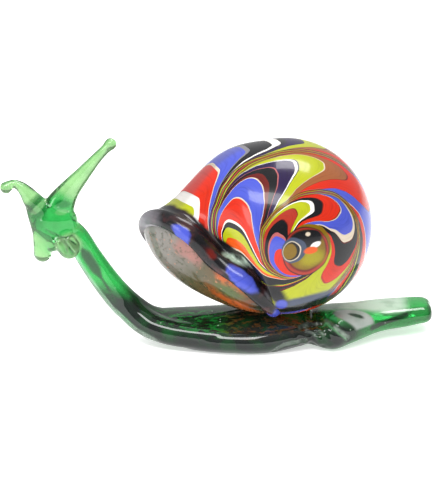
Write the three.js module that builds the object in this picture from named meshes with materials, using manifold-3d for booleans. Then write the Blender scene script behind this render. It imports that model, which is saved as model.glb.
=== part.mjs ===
// A lampworked glass snail. A green foot is drawn up into a neck and a four-lobed head. On the foot
// sits a round shell of dark glass with coloured canes pressed into it and combed along one spiral.
// Millimetres, +Z up, head towards -X, shell apex towards -Y, sole on Z = 0.

import * as THREE from 'three';
import Module from 'manifold-3d';

const wasm = await Module();
wasm.setup();

// Fit: the seam left between neighbouring bits of glass
const SEAM = 0.3;

// Foot: a loaf with a flat sole, measured from its front seam to its tail seam
const FOOT_LENGTH = 57;
const FOOT_WIDTH = 35.2;
const FOOT_HEIGHT = 12.6;
const SADDLE_HEIGHT = 15.8;
const SADDLE_RADIUS = 17;
const SADDLE_FROM_FRONT = 46.6;
const SOLE_CUT = 2.5;
const LOAF_SQUARENESS = 2.3;

// Tail: the pressed end of the foot, behind a crimp, lifted and bent away at its tip
const CRIMP_WIDTH = 25;
const CRIMP_LIFT = 0.8;
const TAIL_LENGTH = 45;
const TAIL_WIDTH = 28;
const TAIL_HEIGHT = 13.6;
const TAIL_BEND = 12;
const TAIL_LIFT = 3.8;
const TAIL_TIP_WIDTH = 17;
const TAIL_TIP_THICKNESS = 8.6;
const TAIL_TIP_ROUND = 2;

// Neck: a rod drawn from the foot, from its front seam to the middle of the head
const NECK_REACH = 39.6;
const NECK_RISE = 43.2;
const NECK_LEAN = 6.5;
const NECK_ROOT_WIDTH = 19.6;
const NECK_ROOT_THICKNESS = 10;
const NECK_THICKNESS = 11.5;
const NECK_TOP_THICKNESS = 9;

// Head: a flattened hub, with two eye stalks above and two mouth feelers below
const HEAD_WIDTH = 17.2;
const HEAD_DEPTH = 10.4;
const HEAD_HEIGHT = 16.4;
const STALK_TIP_DIAMETER = 4.4;
const STALK_FLATNESS = 0.75;
const FRONT_STALK_REACH = 19;
const FRONT_STALK_RISE = 13.6;
const FRONT_STALK_ROOT = 7.6;
const FRONT_STALK_WAIST = 3.2;
const REAR_STALK_REACH = 21.2;
const REAR_STALK_RISE = 31;
const REAR_STALK_ROOT = 11.4;
const REAR_STALK_WAIST = 3.8;
const FRONT_FEELER_DROP = 12;
const FRONT_FEELER_WIDTH = 7.2;
const REAR_FEELER_DROP = 9.2;
const REAR_FEELER_WIDTH = 8.2;
const FEELER_DEPTH = 5.6;

// Shell: a slightly flattened ball, pressed into the saddle
const SHELL_DIAMETER = 67.2;
const SHELL_DEPTH_SHARE = 0.94;
const SHELL_SETBACK = 1;
const SEAT_DEPTH = 2.8;
const APEX_TURN = THREE.MathUtils.degToRad(18.4);
const APEX_LIFT = THREE.MathUtils.degToRad(4.4);

// Mouth: the way it faces, and the edge of the smooth face in it
const MOUTH_YAW = THREE.MathUtils.degToRad(-13.5);
const MOUTH_PITCH = THREE.MathUtils.degToRad(32.7);
const MOUTH_ROLL = THREE.MathUtils.degToRad(43);
const MOUTH_EDGE = 1.2;

// Mouth as shares of the ball's radius: its middle seen from the middle of the ball, its oval, the bulge of
// its face, its rolled lip, and the pinch in the near side of the lip
const MOUTH_FORWARD_SHARE = 0.836;
const MOUTH_NEAR_SHARE = 0.257;
const MOUTH_DROP_SHARE = 0.38;
const MOUTH_LENGTH_SHARE = 1.906;
const MOUTH_WIDTH_SHARE = 1.19;
const BULGE_SHARE = 0.19;
const BULGE_FULLNESS = 3.5;
const BULGE_TO_FAR_SIDE = 0.45;
const LIP_SHARE = 0.25;
const LIP_FAR_SHARE = 0.086;
const LIP_WAVE_SHARE = 0.05;
const PINCH_SHARE = 0.16;
const PINCH_ANGLE = THREE.MathUtils.degToRad(90);
const PINCH_SPREAD = THREE.MathUtils.degToRad(17);

// Throat: the angle from its middle at which it leaves the ball, and how much more that is at its crown.
// Its pulls are shares of its own length, its setback and its shoulder shares of the ball's radius.
const THROAT_ANGLE = THREE.MathUtils.degToRad(57);
const THROAT_RISE = THREE.MathUtils.degToRad(52);
const CROWN_SHARPNESS = 1.3;
const THROAT_SETBACK_SHARE = 0.15;
const THROAT_PULL_SHARE = 1.2;
const FLARE_PULL_SHARE = 0.7;
const SHOULDER_SHARE = 0.075;

// Canes: their thickness on the core, the core glass left between two and along the lip, and the comb
const CANE_DEPTH = 1.8;
const CANE_GAP = 0.9;
const LIP_GAP = 2;
const CANE_FACET_DIP = 0.8;
const THROAT_FACET_DIP = 1;
const THROAT_HOLLOW = 0.5;
const WIDEST_GAP_SHARE = 0.6;
const NARROWEST_SHARE = 0.15;
const SPIRAL_GROWTH = Math.log(2.6);
const SPIRAL_START_ANGLE = THREE.MathUtils.degToRad(31);
const COMB_PULL = THREE.MathUtils.degToRad(50);
const COMB_SHARPNESS = 2.2;
const TURN_SHIFT = THREE.MathUtils.degToRad(15);
const FIRST_TURN = -1.4;
const LAST_TURN = 3.6;
const APEX_TURNS = 2.2;
const APEX_RISE = 0.8;

// Glass colours
const GREEN = 0x2f9a4a;
const CORE_COLOUR = 0x202022;
const LIP_COLOUR = 0x2b3c9c;
const MOUTH_COLOUR = 0x4a4644;
const APEX_COLOUR = 0x96781e;
const GLASS_ROUGHNESS = 0.08;

// Canes clockwise round the apex, each with the part of a turn that it fills, in degrees
const CANES = [
  ['cane_red_lower', 0xd8351f, 53],
  ['cane_blue_lower', 0x3f56d8, 25],
  ['cane_grey', 0x4a4b50, 24],
  ['cane_brown', 0x7c2f26, 21],
  ['cane_yellow', 0xc8cc35, 22],
  ['cane_black_upper', 0x232326, 15],
  ['cane_red_upper', 0xe23c22, 25],
  ['cane_blue_upper', 0x465fe6, 30],
  ['cane_black_rear', 0x2a2a2c, 42],
  ['cane_red_rear', 0xdb3a20, 38],
  ['cane_lime', 0xbfc832, 45],
  ['cane_black_lower', 0x29292b, 35],
];
const FIRST_CANE_CLOCK = THREE.MathUtils.degToRad(-40);

// Foot shape: share of the length, share of the widest half width, share of the sole cut
const FOOT_SHAPE = [
  [0.19, 0.8, 0.6],
  [0.46, 0.98, 1],
  [0.72, 0.95, 1],
];

// Tail shape: shares of the length, of the bend and of the way from the root's section to the tip's
const TAIL_SHAPE = [
  [0.18, 0, 0],
  [0.36, 0.24, 0.3],
  [0.59, 0.68, 0.68],
  [0.82, 0.9, 0.85],
  [1, 1, 1],
];

// Neck shape: shares of the reach, lean and rise, and of the way from the thick bend to the thin top
const NECK_SHAPE = [
  [0.164, 0, 0.048, 0],
  [0.341, 0.08, 0.182, 0],
  [0.503, 0.23, 0.37, 0.3],
  [0.68, 0.54, 0.64, 0.6],
  [0.805, 0.77, 0.857, 0.9],
  [0.96, 1, 1, 1],
];

// Stalk shapes: shares of the reach and the rise, and of the way from the root's section to the waist's
const FRONT_STALK_SHAPE = [
  [0.14, 0.2, 0],
  [0.44, 0.6, 0.05],
  [0.58, 0.86, 0.45],
  [0.71, 1.04, 0.8],
  [0.85, 1.12, 1],
];
const REAR_STALK_SHAPE = [
  [0.03, 0.1, 0],
  [0.11, 0.24, 0.05],
  [0.26, 0.41, 0.42],
  [0.51, 0.62, 0.72],
  [0.745, 0.815, 0.93],
  [0.91, 0.935, 1],
];

// Feeler shapes: shares of the drop, then how far forward and how far towards the near side
const FRONT_FEELER_SHAPE = [
  [0.2, 4.4, 0],
  [0.6, 5, 0.5],
  [1, 5.1, 1],
];
const REAR_FEELER_SHAPE = [
  [0.2, -1.9, 1.5],
  [0.6, -3, 3.4],
  [1, -4.8, 4.4],
];

const UP = new THREE.Vector3(0, 0, 1);
const AWAY = new THREE.Vector3(0, 1, 0);
const FORWARD = new THREE.Vector3(-1, 0, 0);
const FULL_TURN = 2 * Math.PI;

// Rows of numbers, read smoothly at a share of the way from the first row to the last
function readRows(rows, share) {
  const place = share * (rows.length - 1);
  const first = Math.min(Math.floor(place), rows.length - 2);
  const f = place - first;
  const row = (k) => rows[THREE.MathUtils.clamp(k, 0, rows.length - 1)];
  return rows[0].map((_, c) => {
    const [a, b, d, e] = [row(first - 1)[c], row(first)[c], row(first + 1)[c], row(first + 2)[c]];
    const [slopeIn, slopeOut] = [(d - a) / 2, (e - b) / 2];
    const bend = 2 * (b - d) + slopeIn + slopeOut;
    return b + f * (slopeIn + f * (3 * (d - b) - 2 * slopeIn - slopeOut + f * bend));
  });
}

// Closes a stack of rings into one skin. A ring of one point is a pole, and an open end gets a flat cap.
function skin(rings, joinsItself = false) {
  const stack = rings.slice();
  if (!joinsItself) {
    if (stack[0].length > 1) stack.unshift([middle(stack[0])]);
    if (stack.at(-1).length > 1) stack.push([middle(stack.at(-1))]);
  } else {
    stack.push(stack[0]);
  }
  const points = [];
  const starts = stack.map((ring, i) => {
    if (joinsItself && i === stack.length - 1) return 0;
    points.push(...ring);
    return points.length - ring.length;
  });
  const faces = [];
  for (let i = 0; i + 1 < stack.length; i++) {
    const [low, high] = [stack[i].length, stack[i + 1].length];
    const sides = Math.max(low, high);
    for (let j = 0; j < sides; j++) {
      const k = (j + 1) % sides;
      const a = starts[i] + (low > 1 ? j : 0);
      const b = starts[i] + (low > 1 ? k : 0);
      const c = starts[i + 1] + (high > 1 ? j : 0);
      const d = starts[i + 1] + (high > 1 ? k : 0);
      if (high > 1) faces.push([a, d, c]);
      if (low > 1) faces.push([a, b, d]);
    }
  }
  return facingOut(points, faces);
}

function middle(points) {
  const sum = new THREE.Vector3();
  points.forEach((p) => sum.add(p));
  return sum.divideScalar(points.length);
}

// A geometry whose faces all point out of the body that they close
function facingOut(points, faces) {
  let volume = 0;
  for (const [a, b, c] of faces) {
    volume += points[a].dot(new THREE.Vector3().crossVectors(points[b], points[c]));
  }
  const turned = volume < 0 ? faces.map(([a, b, c]) => [a, c, b]) : faces;
  const geometry = new THREE.BufferGeometry();
  geometry.setAttribute('position', new THREE.Float32BufferAttribute(points.flatMap((p) => p.toArray()), 3));
  geometry.setIndex(turned.flat());
  return geometry;
}

function toSolid(geometry) {
  const vertProperties = new Float32Array(geometry.attributes.position.array);
  const triVerts = new Uint32Array(geometry.index.array);
  return new wasm.Manifold(new wasm.Mesh({ numProp: 3, vertProperties, triVerts }));
}

function toGeometry(solid) {
  const mesh = solid.getMesh();
  const geometry = new THREE.BufferGeometry();
  geometry.setAttribute('position', new THREE.BufferAttribute(new Float32Array(mesh.vertProperties), 3));
  geometry.setIndex(Array.from(mesh.triVerts));
  return geometry;
}

// A geometry with the others cut away from it
function cut(geometry, ...cutters) {
  let solid = toSolid(geometry);
  cutters.forEach((cutter) => {
    solid = solid.subtract(toSolid(cutter));
  });
  return toGeometry(solid);
}

// One ring round a rod: an oval, squarer as the power grows
function ovalRing(centre, side, over, wide, thick, sides, power = 2) {
  const rounded = (v) => Math.sign(v) * Math.abs(v) ** (2 / power);
  return Array.from({ length: sides }, (_, j) => {
    const angle = (j / sides) * FULL_TURN;
    return centre.clone()
      .addScaledVector(side, rounded(Math.cos(angle)) * wide)
      .addScaledVector(over, rounded(Math.sin(angle)) * thick);
  });
}

// A drawn rod with a round far end. Each row is x, y, z, half width and half thickness.
function rodRings(rows, count, sides, startsAlong) {
  const at = (share) => new THREE.Vector3(...readRows(rows, THREE.MathUtils.clamp(share, 0, 1)));
  const step = 1 / (2 * count);
  const rings = [];
  let last = null;
  for (let i = 0; i <= count; i++) {
    const share = i / count;
    const [wide, thick] = readRows(rows, share).slice(3);
    const along = at(share + step).sub(at(share - step)).normalize();
    if (i === 0 && startsAlong) along.copy(startsAlong);
    const side = AWAY.clone().addScaledVector(along, -AWAY.dot(along)).normalize();
    const over = new THREE.Vector3().crossVectors(along, side);
    last = { centre: at(share), along, side, over, wide, thick };
    rings.push(ovalRing(last.centre, side, over, wide, thick, sides));
  }
  const CAP_STEPS = 3;
  for (let k = 1; k < CAP_STEPS; k++) {
    const angle = (k / CAP_STEPS) * (Math.PI / 2);
    const centre = last.centre.clone().addScaledVector(last.along, last.thick * Math.sin(angle));
    const shrink = Math.cos(angle);
    rings.push(ovalRing(centre, last.side, last.over, last.wide * shrink, last.thick * shrink, sides));
  }
  rings.push([last.centre.clone().addScaledVector(last.along, last.thick)]);
  return rings;
}

// Foot and tail, in slices across X. Each row is x, sideways, half width, top and underside.
function loafRings(rows, count, sides) {
  return Array.from({ length: count + 1 }, (_, i) => {
    const [x, y, wide, top, under] = readRows(rows, i / count);
    const centre = new THREE.Vector3(x, y, (top + under) / 2);
    const ring = ovalRing(centre, AWAY, UP, wide, (top - under) / 2, sides, LOAF_SQUARENESS);
    ring.forEach((p) => {
      p.z = Math.max(p.z, 0);
    });
    return ring;
  });
}

// Places that the pieces share, with X = 0 and Y = 0 in the middle of the saddle
const footFront = -SADDLE_FROM_FRONT;
const tailSeam = footFront + FOOT_LENGTH;
const frontTop = FOOT_HEIGHT;
const frontUnder = FOOT_HEIGHT - NECK_ROOT_THICKNESS;
const neckRoot = new THREE.Vector3(footFront, 0, (frontTop + frontUnder) / 2);
const headCentre = neckRoot.clone().add(new THREE.Vector3(-NECK_REACH, -NECK_LEAN, NECK_RISE));
const shellRadius = SHELL_DIAMETER / 2;
const shellCentre = new THREE.Vector3(0, SHELL_SETBACK, SADDLE_HEIGHT - SEAT_DEPTH + shellRadius);

// Shell directions: the apex, and a clock round it that runs from the left over the top
const apex = new THREE.Vector3(
  Math.sin(APEX_TURN) * Math.cos(APEX_LIFT),
  -Math.cos(APEX_TURN) * Math.cos(APEX_LIFT),
  Math.sin(APEX_LIFT),
);
const clockTop = UP.clone().addScaledVector(apex, -UP.dot(apex)).normalize();
const clockRight = new THREE.Vector3().crossVectors(clockTop, apex);
const coreDepth = CANE_DEPTH + CANE_FACET_DIP + SEAM;

// Mouth directions: along the long axis of the oval, out of the mouth, and across the oval
const mouthLong = new THREE.Vector3(
  Math.cos(MOUTH_PITCH) * Math.cos(MOUTH_YAW),
  Math.cos(MOUTH_PITCH) * Math.sin(MOUTH_YAW),
  -Math.sin(MOUTH_PITCH),
);
const mouthNear = new THREE.Vector3().crossVectors(mouthLong, UP).normalize();
const mouthOver = new THREE.Vector3().crossVectors(mouthNear, mouthLong);
const mouthOut = mouthNear.clone().multiplyScalar(Math.sin(MOUTH_ROLL))
  .addScaledVector(mouthOver, -Math.cos(MOUTH_ROLL));
const mouthShort = new THREE.Vector3().crossVectors(mouthOut, mouthLong);
const mouthReach = new THREE.Vector3(-MOUTH_FORWARD_SHARE, -MOUTH_NEAR_SHARE, -MOUTH_DROP_SHARE);
const mouthCentre = shellCentre.clone().addScaledVector(mouthReach, shellRadius);
const mouthHalfLength = (MOUTH_LENGTH_SHARE / 2) * shellRadius;
const mouthHalfWidth = (MOUTH_WIDTH_SHARE / 2) * shellRadius;
const throatEnd = mouthCentre.clone().addScaledVector(mouthShort, -THROAT_SETBACK_SHARE * shellRadius);
const throatOut = throatEnd.sub(shellCentre).normalize();
const throatLong = mouthLong.clone().addScaledVector(throatOut, -mouthLong.dot(throatOut)).normalize();
const throatShort = new THREE.Vector3().crossVectors(throatOut, throatLong);

// The ball, flattened along the apex
function ballPoint(direction, radius) {
  const onAxis = direction.dot(apex);
  return shellCentre.clone()
    .addScaledVector(direction, radius)
    .addScaledVector(apex, onAxis * radius * (SHELL_DEPTH_SHARE - 1));
}

function clockDirection(fromApex, clock) {
  return apex.clone().multiplyScalar(Math.cos(fromApex))
    .addScaledVector(clockRight, -Math.sin(fromApex) * Math.cos(clock))
    .addScaledVector(clockTop, Math.sin(fromApex) * Math.sin(clock));
}

// Half the thickness of the rolled lip, thickest on the near side of the mouth
function lipRadius(angle) {
  return (THREE.MathUtils.lerp(LIP_FAR_SHARE, LIP_SHARE, (1 + Math.sin(angle)) / 2) / 2) * shellRadius;
}

// Middle line of the rolled lip: inside the oval of the mouth, with two soft waves and the pinch in it
function lipLine(angle) {
  const inset = lipRadius(angle);
  const pinch = PINCH_SHARE * shellRadius * Math.exp(-(((angle - PINCH_ANGLE) / PINCH_SPREAD) ** 2));
  return mouthCentre.clone()
    .addScaledVector(mouthLong, Math.cos(angle) * (mouthHalfLength - inset))
    .addScaledVector(mouthShort, Math.sin(angle) * (mouthHalfWidth - inset) - pinch)
    .addScaledVector(mouthOut, LIP_WAVE_SHARE * shellRadius * Math.sin(2 * angle));
}

// The rolled lip, grown by an allowance where it cuts its neighbours
function lipGeometry(allowance) {
  const LIP_STEPS = 60;
  const LIP_SIDES = 10;
  const rings = Array.from({ length: LIP_STEPS }, (_, i) => {
    const angle = (i / LIP_STEPS) * FULL_TURN;
    const centre = lipLine(angle);
    const outward = centre.clone().sub(mouthCentre).normalize();
    const radius = lipRadius(angle) + allowance;
    return ovalRing(centre, outward, mouthOut, radius, radius, LIP_SIDES);
  });
  return skin(rings, true);
}

// A direction from the middle of the ball: an angle from the pole across from the throat, and one round it
function aroundThroat(fromPole, angle) {
  return throatOut.clone().multiplyScalar(-Math.cos(fromPole))
    .addScaledVector(throatLong, Math.sin(fromPole) * Math.cos(angle))
    .addScaledVector(throatShort, Math.sin(fromPole) * Math.sin(angle));
}

// Where a direction lies round the throat
function throatPlace(direction) {
  return {
    fromPole: Math.PI - direction.angleTo(throatOut),
    angle: Math.atan2(direction.dot(throatShort), direction.dot(throatLong)),
  };
}

// How near an angle round the throat is to its crown, the side away from the foot
function nearCrown(angle) {
  return ((1 - Math.cos(angle)) / 2) ** CROWN_SHARPNESS;
}

function throatStart(angle) {
  return Math.PI - THROAT_ANGLE - THROAT_RISE * nearCrown(angle);
}

// A hump of height one in the first half of the throat, flat at both ends
function hump(t) {
  const PEAK = 1 / 3;
  return (t / PEAK) ** 2 * ((1 - t) / (1 - PEAK)) ** 4;
}

// The outside of the shell: the ball, then the throat that flares out to the back of the lip
const throatStop = Math.PI - THROAT_ANGLE / 2;
function outerPoint(fromPole, angle) {
  const start = throatStart(angle);
  if (fromPole <= start) return ballPoint(aroundThroat(fromPole, angle), shellRadius);
  const t = (fromPole - start) / (throatStop - start);
  const outward = lipLine(angle).sub(mouthCentre).normalize();
  const lipBack = outward.clone().sub(mouthOut).setLength(lipRadius(angle)).add(lipLine(angle));
  const flares = outward.clone().add(mouthOut).normalize();
  const leaves = aroundThroat(start + Math.PI / 2, angle);
  const shoulder = SHOULDER_SHARE * shellRadius * nearCrown(angle);
  const point = ballPoint(aroundThroat(start, angle), shellRadius);
  const length = point.distanceTo(lipBack);
  return point.multiplyScalar(1 + t * t * (2 * t - 3))
    .addScaledVector(lipBack, t * t * (3 - 2 * t))
    .addScaledVector(leaves, THROAT_PULL_SHARE * length * t * (t - 1) ** 2)
    .addScaledVector(flares, FLARE_PULL_SHARE * length * t * t * (t - 1))
    .addScaledVector(aroundThroat(Math.PI / 2, angle), shoulder * hump(t));
}

// A point of the shell in a direction from its middle, at a depth under its outside
const NEAR_BY = 0.01;
function shellPoint(direction, depth) {
  const { fromPole, angle } = throatPlace(direction);
  const start = throatStart(angle);
  if (fromPole <= start) return ballPoint(direction, shellRadius - depth);
  const along = outerPoint(fromPole + NEAR_BY, angle).sub(outerPoint(fromPole - NEAR_BY, angle));
  const round = outerPoint(fromPole, angle + NEAR_BY).sub(outerPoint(fromPole, angle - NEAR_BY));
  const outward = new THREE.Vector3().crossVectors(round, along).normalize();
  const share = (fromPole - start) / (throatStop - start);
  outward.addScaledVector(mouthOut, -outward.dot(mouthOut) * share).normalize();
  return outerPoint(fromPole, angle).addScaledVector(outward, -depth);
}

// Core and throat in one skin: rings round the throat, from the far pole to the mouth. Its end passes inside
// the lip and closes under the face of the mouth.
const MOUTH_SIDES = 48;
function coreGeometry() {
  const BALL_STEPS = 12;
  const THROAT_STEPS = 10;
  const ring = (point) => Array.from({ length: MOUTH_SIDES }, (_, j) => point((j / MOUTH_SIDES) * FULL_TURN));
  const insideLip = (angle) => lipRadius(angle) + SEAM + THROAT_FACET_DIP;
  const inward = (angle) => mouthCentre.clone().sub(lipLine(angle)).normalize();
  const rings = [[ballPoint(throatOut.clone().negate(), shellRadius - coreDepth)]];
  for (let i = 1; i <= BALL_STEPS; i++) {
    const share = i / BALL_STEPS;
    rings.push(ring((angle) => (
      ballPoint(aroundThroat(share * throatStart(angle), angle), shellRadius - coreDepth)
    )));
  }
  for (let i = 1; i <= THROAT_STEPS; i++) {
    const share = i / THROAT_STEPS;
    rings.push(ring((angle) => {
      const start = throatStart(angle);
      const direction = aroundThroat(start, angle);
      const underBall = ballPoint(direction, shellRadius - coreDepth).sub(ballPoint(direction, shellRadius));
      const endDepth = Math.max(coreDepth, insideLip(angle) + lipRadius(angle) * Math.SQRT1_2);
      const under = underBall.lerp(inward(angle).setLength(endDepth), share);
      under.multiplyScalar(1 + THROAT_HOLLOW * Math.sin(share * Math.PI));
      return outerPoint(THREE.MathUtils.lerp(start, throatStop, share), angle).add(under);
    }));
  }
  rings.push(ring((angle) => (
    lipLine(angle).addScaledVector(inward(angle), insideLip(angle)).addScaledVector(mouthOut, SEAM)
  )));
  rings.push([mouthCentre.clone().addScaledVector(mouthOut, SEAM)]);
  return skin(rings);
}

// The smooth face in the mouth: a dome over the end of the throat that bulges most towards the far side,
// grown by an allowance where it cuts the throat
function mouthFaceGeometry(allowance) {
  const DOME_STEPS = 6;
  const base = SEAM - allowance;
  const rim = SEAM + MOUTH_EDGE + allowance;
  const bulge = BULGE_SHARE * shellRadius;
  const layer = (share, height) => Array.from({ length: MOUTH_SIDES }, (_, j) => {
    const angle = (j / MOUTH_SIDES) * FULL_TURN;
    return mouthCentre.clone().lerp(lipLine(angle), share).addScaledVector(mouthOut, height(angle));
  });
  const rings = [[mouthCentre.clone().addScaledVector(mouthOut, base)], layer(1, () => base)];
  for (let i = DOME_STEPS; i > 0; i--) {
    const share = i / DOME_STEPS;
    const fullness = 1 - share ** BULGE_FULLNESS;
    rings.push(layer(share, (angle) => (
      rim + bulge * fullness * (1 - BULGE_TO_FAR_SIDE * share * Math.sin(angle))
    )));
  }
  rings.push([mouthCentre.clone().addScaledVector(mouthOut, rim + bulge)]);
  return skin(rings);
}

// A place on the combed spiral: the turn counts whorls out from the apex, and the label stays with a cane
function combedPlace(turn, label) {
  const inTurn = turn - Math.floor(turn);
  const lag = COMB_PULL * Math.abs(2 * inTurn - 1) ** COMB_SHARPNESS;
  const clock = label - lag + TURN_SHIFT * turn;
  const spread = Math.log(Math.tan(SPIRAL_START_ANGLE / 2)) + SPIRAL_GROWTH * (turn + clock / FULL_TURN);
  return { clock, fromApex: 2 * Math.atan(Math.exp(spread)) };
}

// Half the label that the gap between two canes takes, wider where the comb drags the canes aslant
function gapLabel(turn, fromApex) {
  const inTurn = turn - Math.floor(turn);
  const slope = 2 * COMB_PULL * COMB_SHARPNESS * Math.abs(2 * inTurn - 1) ** (COMB_SHARPNESS - 1);
  return (CANE_GAP / 2) * Math.hypot(1, slope / SPIRAL_GROWTH) / (shellRadius * Math.sin(fromApex));
}

// Steps along a cane, closer together where the comb drags it far in a short way
function combSteps() {
  const STEPS_PER_HALF_TURN = 5;
  const CROWDING = 0.7;
  const firstWhole = Math.floor(FIRST_TURN);
  const steps = [];
  for (let i = 0; i <= (LAST_TURN - firstWhole) * 2 * STEPS_PER_HALF_TURN; i++) {
    const half = i / STEPS_PER_HALF_TURN;
    const offset = half % 2 - 1;
    const crowded = Math.sign(offset) * Math.abs(offset) ** CROWDING;
    steps.push(firstWhole + Math.floor(half / 2) + (crowded + 1) / 2);
  }
  return steps.filter((turn) => turn >= FIRST_TURN && turn <= LAST_TURN);
}

// Whether a direction is clear of the lip, with the gap that the canes keep from it
const LIP_SAMPLES = 90;
const lipSamples = Array.from({ length: LIP_SAMPLES }, (_, i) => {
  const angle = (i / LIP_SAMPLES) * FULL_TURN;
  return { centre: lipLine(angle), reach: lipRadius(angle) + LIP_GAP };
});
function isClear(direction) {
  if (throatPlace(direction).fromPole >= throatStop) return false;
  const point = shellPoint(direction, 0);
  return lipSamples.every(({ centre, reach }) => point.distanceTo(centre) > reach);
}

// The longest part of a cane's width that is clear of the lip, between two labels at one turn
function clearLabels(turn, from, to) {
  const SAMPLES = 48;
  let best = [];
  let run = [];
  for (let i = 0; i <= SAMPLES; i++) {
    const label = THREE.MathUtils.lerp(from, to, i / SAMPLES);
    const place = combedPlace(turn, label);
    run = isClear(clockDirection(place.fromApex, place.clock)) ? [...run, label] : [];
    if (run.length > best.length) best = run;
  }
  return best.length > 0 ? [best[0], best.at(-1)] : [from, from];
}

// One cane, from the apex outwards, in finer steps over the throat. The lip stops it, and past the lip it
// goes on as a piece of its own.
function caneGeometries(from, to) {
  const WIDEST_FACET = THREE.MathUtils.degToRad(18);
  const THROAT_FINENESS = 2;
  const FEWEST_RINGS = 9;
  const across = Math.ceil((to - from) / WIDEST_FACET);
  const middleAt = (turn) => combedPlace(turn, (from + to) / 2);
  const nearThroat = (turn) => {
    const { fromApex, clock } = middleAt(turn);
    const { fromPole, angle } = throatPlace(clockDirection(fromApex, clock));
    return fromPole > throatStart(angle) - (to - from) / 2;
  };
  const turns = combSteps().flatMap((turn, i, all) => {
    const next = all[Math.min(i + 1, all.length - 1)];
    const count = nearThroat(turn) && next > turn ? THROAT_FINENESS : 1;
    return Array.from({ length: count }, (_, k) => turn + (k / count) * (next - turn));
  });
  const runs = [[]];
  let [lastLow, lastHigh] = [from, to];
  turns.forEach((turn) => {
    const edge = Math.min(gapLabel(turn, middleAt(turn).fromApex), (to - from) * WIDEST_GAP_SHARE / 2);
    const [low, high] = clearLabels(turn, from + edge, to - edge);
    const isWide = high - low > (to - from) * NARROWEST_SHARE;
    const follows = low < lastHigh && high > lastLow;
    if (!isWide || !follows) runs.push([]);
    if (isWide) {
      const directions = Array.from({ length: across + 1 }, (_, j) => {
        const place = combedPlace(turn, THREE.MathUtils.lerp(low, high, j / across));
        return clockDirection(place.fromApex, place.clock);
      });
      const top = directions.map((d) => shellPoint(d, 0));
      const bottom = directions.map((d) => shellPoint(d, CANE_DEPTH)).reverse();
      runs.at(-1).push([...top, ...bottom]);
      [lastLow, lastHigh] = [low, high];
    }
  });
  return runs.filter((rings) => rings.length >= FEWEST_RINGS).map((rings) => skin(rings));
}

// The twisted end in the middle of the spiral: one ribbon of glass that winds in to the apex
function apexCoilGeometry() {
  const STEPS_PER_TURN = 14;
  const INNER_TURN = FIRST_TURN - 1;
  const lastClock = combedPlace(FIRST_TURN, FIRST_CANE_CLOCK).clock + FULL_TURN - COMB_PULL;
  const startSpread = Math.log(Math.tan(SPIRAL_START_ANGLE / 2));
  const place = (turn, clock, height) => {
    const spread = startSpread + SPIRAL_GROWTH * (turn + clock / FULL_TURN);
    return ballPoint(clockDirection(2 * Math.atan(Math.exp(spread)), clock), shellRadius + height);
  };
  const rings = [];
  for (let i = 0; i <= APEX_TURNS * STEPS_PER_TURN; i++) {
    const clock = lastClock - (i / STEPS_PER_TURN) * FULL_TURN;
    const width = place(FIRST_TURN, clock, 0).distanceTo(place(INNER_TURN, clock, 0));
    const edge = Math.min(CANE_GAP / width, WIDEST_GAP_SHARE / 2) / 2;
    const [inner, outer] = [INNER_TURN + edge, FIRST_TURN - edge];
    const bottom = SEAM - coreDepth;
    const middleTurn = (inner + outer) / 2;
    rings.push([
      place(inner, clock, bottom),
      place(inner, clock, 0),
      place(middleTurn, clock, APEX_RISE),
      place(outer, clock, 0),
      place(outer, clock, bottom),
    ]);
  }
  return skin(rings);
}

function footGeometry() {
  const STEPS = 16;
  const SIDES = 28;
  const halfWidth = FOOT_WIDTH / 2;
  const rows = [
    [footFront, 0, NECK_ROOT_WIDTH / 2, frontTop, frontUnder],
    ...FOOT_SHAPE.map(([along, wide, sole]) => (
      [footFront + FOOT_LENGTH * along, 0, halfWidth * wide, FOOT_HEIGHT, -SOLE_CUT * sole]
    )),
    [tailSeam, 0, CRIMP_WIDTH / 2, FOOT_HEIGHT, CRIMP_LIFT],
  ];
  const rings = loafRings(rows, STEPS, SIDES);
  rings.flat().forEach((p) => {
    const fromSaddle = Math.hypot(p.x, p.y - SHELL_SETBACK) / SADDLE_RADIUS;
    const aboveSole = p.z / FOOT_HEIGHT;
    p.z += (SADDLE_HEIGHT - FOOT_HEIGHT) * aboveSole ** 2 * Math.exp(-(fromSaddle ** 2));
  });
  return skin(rings);
}

function tailGeometry() {
  const STEPS = 12;
  const SIDES = 26;
  const ROUND_STEPS = 3;
  const { lerp } = THREE.MathUtils;
  const start = tailSeam + SEAM;
  const tipTop = TAIL_LIFT + TAIL_TIP_THICKNESS;
  const rows = [
    [start, 0, CRIMP_WIDTH / 2, FOOT_HEIGHT, CRIMP_LIFT],
    ...TAIL_SHAPE.map(([along, bend, toTip]) => [
      start + TAIL_LENGTH * along,
      TAIL_BEND * bend,
      lerp(TAIL_WIDTH, TAIL_TIP_WIDTH, toTip) / 2,
      lerp(TAIL_HEIGHT, tipTop, toTip),
      lerp(-SOLE_CUT / 2, TAIL_LIFT, toTip),
    ]),
  ];
  const rings = loafRings(rows, STEPS, SIDES);
  const tip = rings.at(-1);
  const tipMiddle = middle(tip);
  for (let k = 1; k <= ROUND_STEPS; k++) {
    const angle = (k / ROUND_STEPS) * (Math.PI / 2);
    const inset = TAIL_TIP_ROUND * (1 - Math.cos(angle));
    rings.push(tip.map((p) => {
      const reach = p.distanceTo(tipMiddle);
      const rounded = tipMiddle.clone().lerp(p, (reach - inset) / reach);
      rounded.x += TAIL_TIP_ROUND * Math.sin(angle);
      return rounded;
    }));
  }
  return skin(rings);
}

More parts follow.
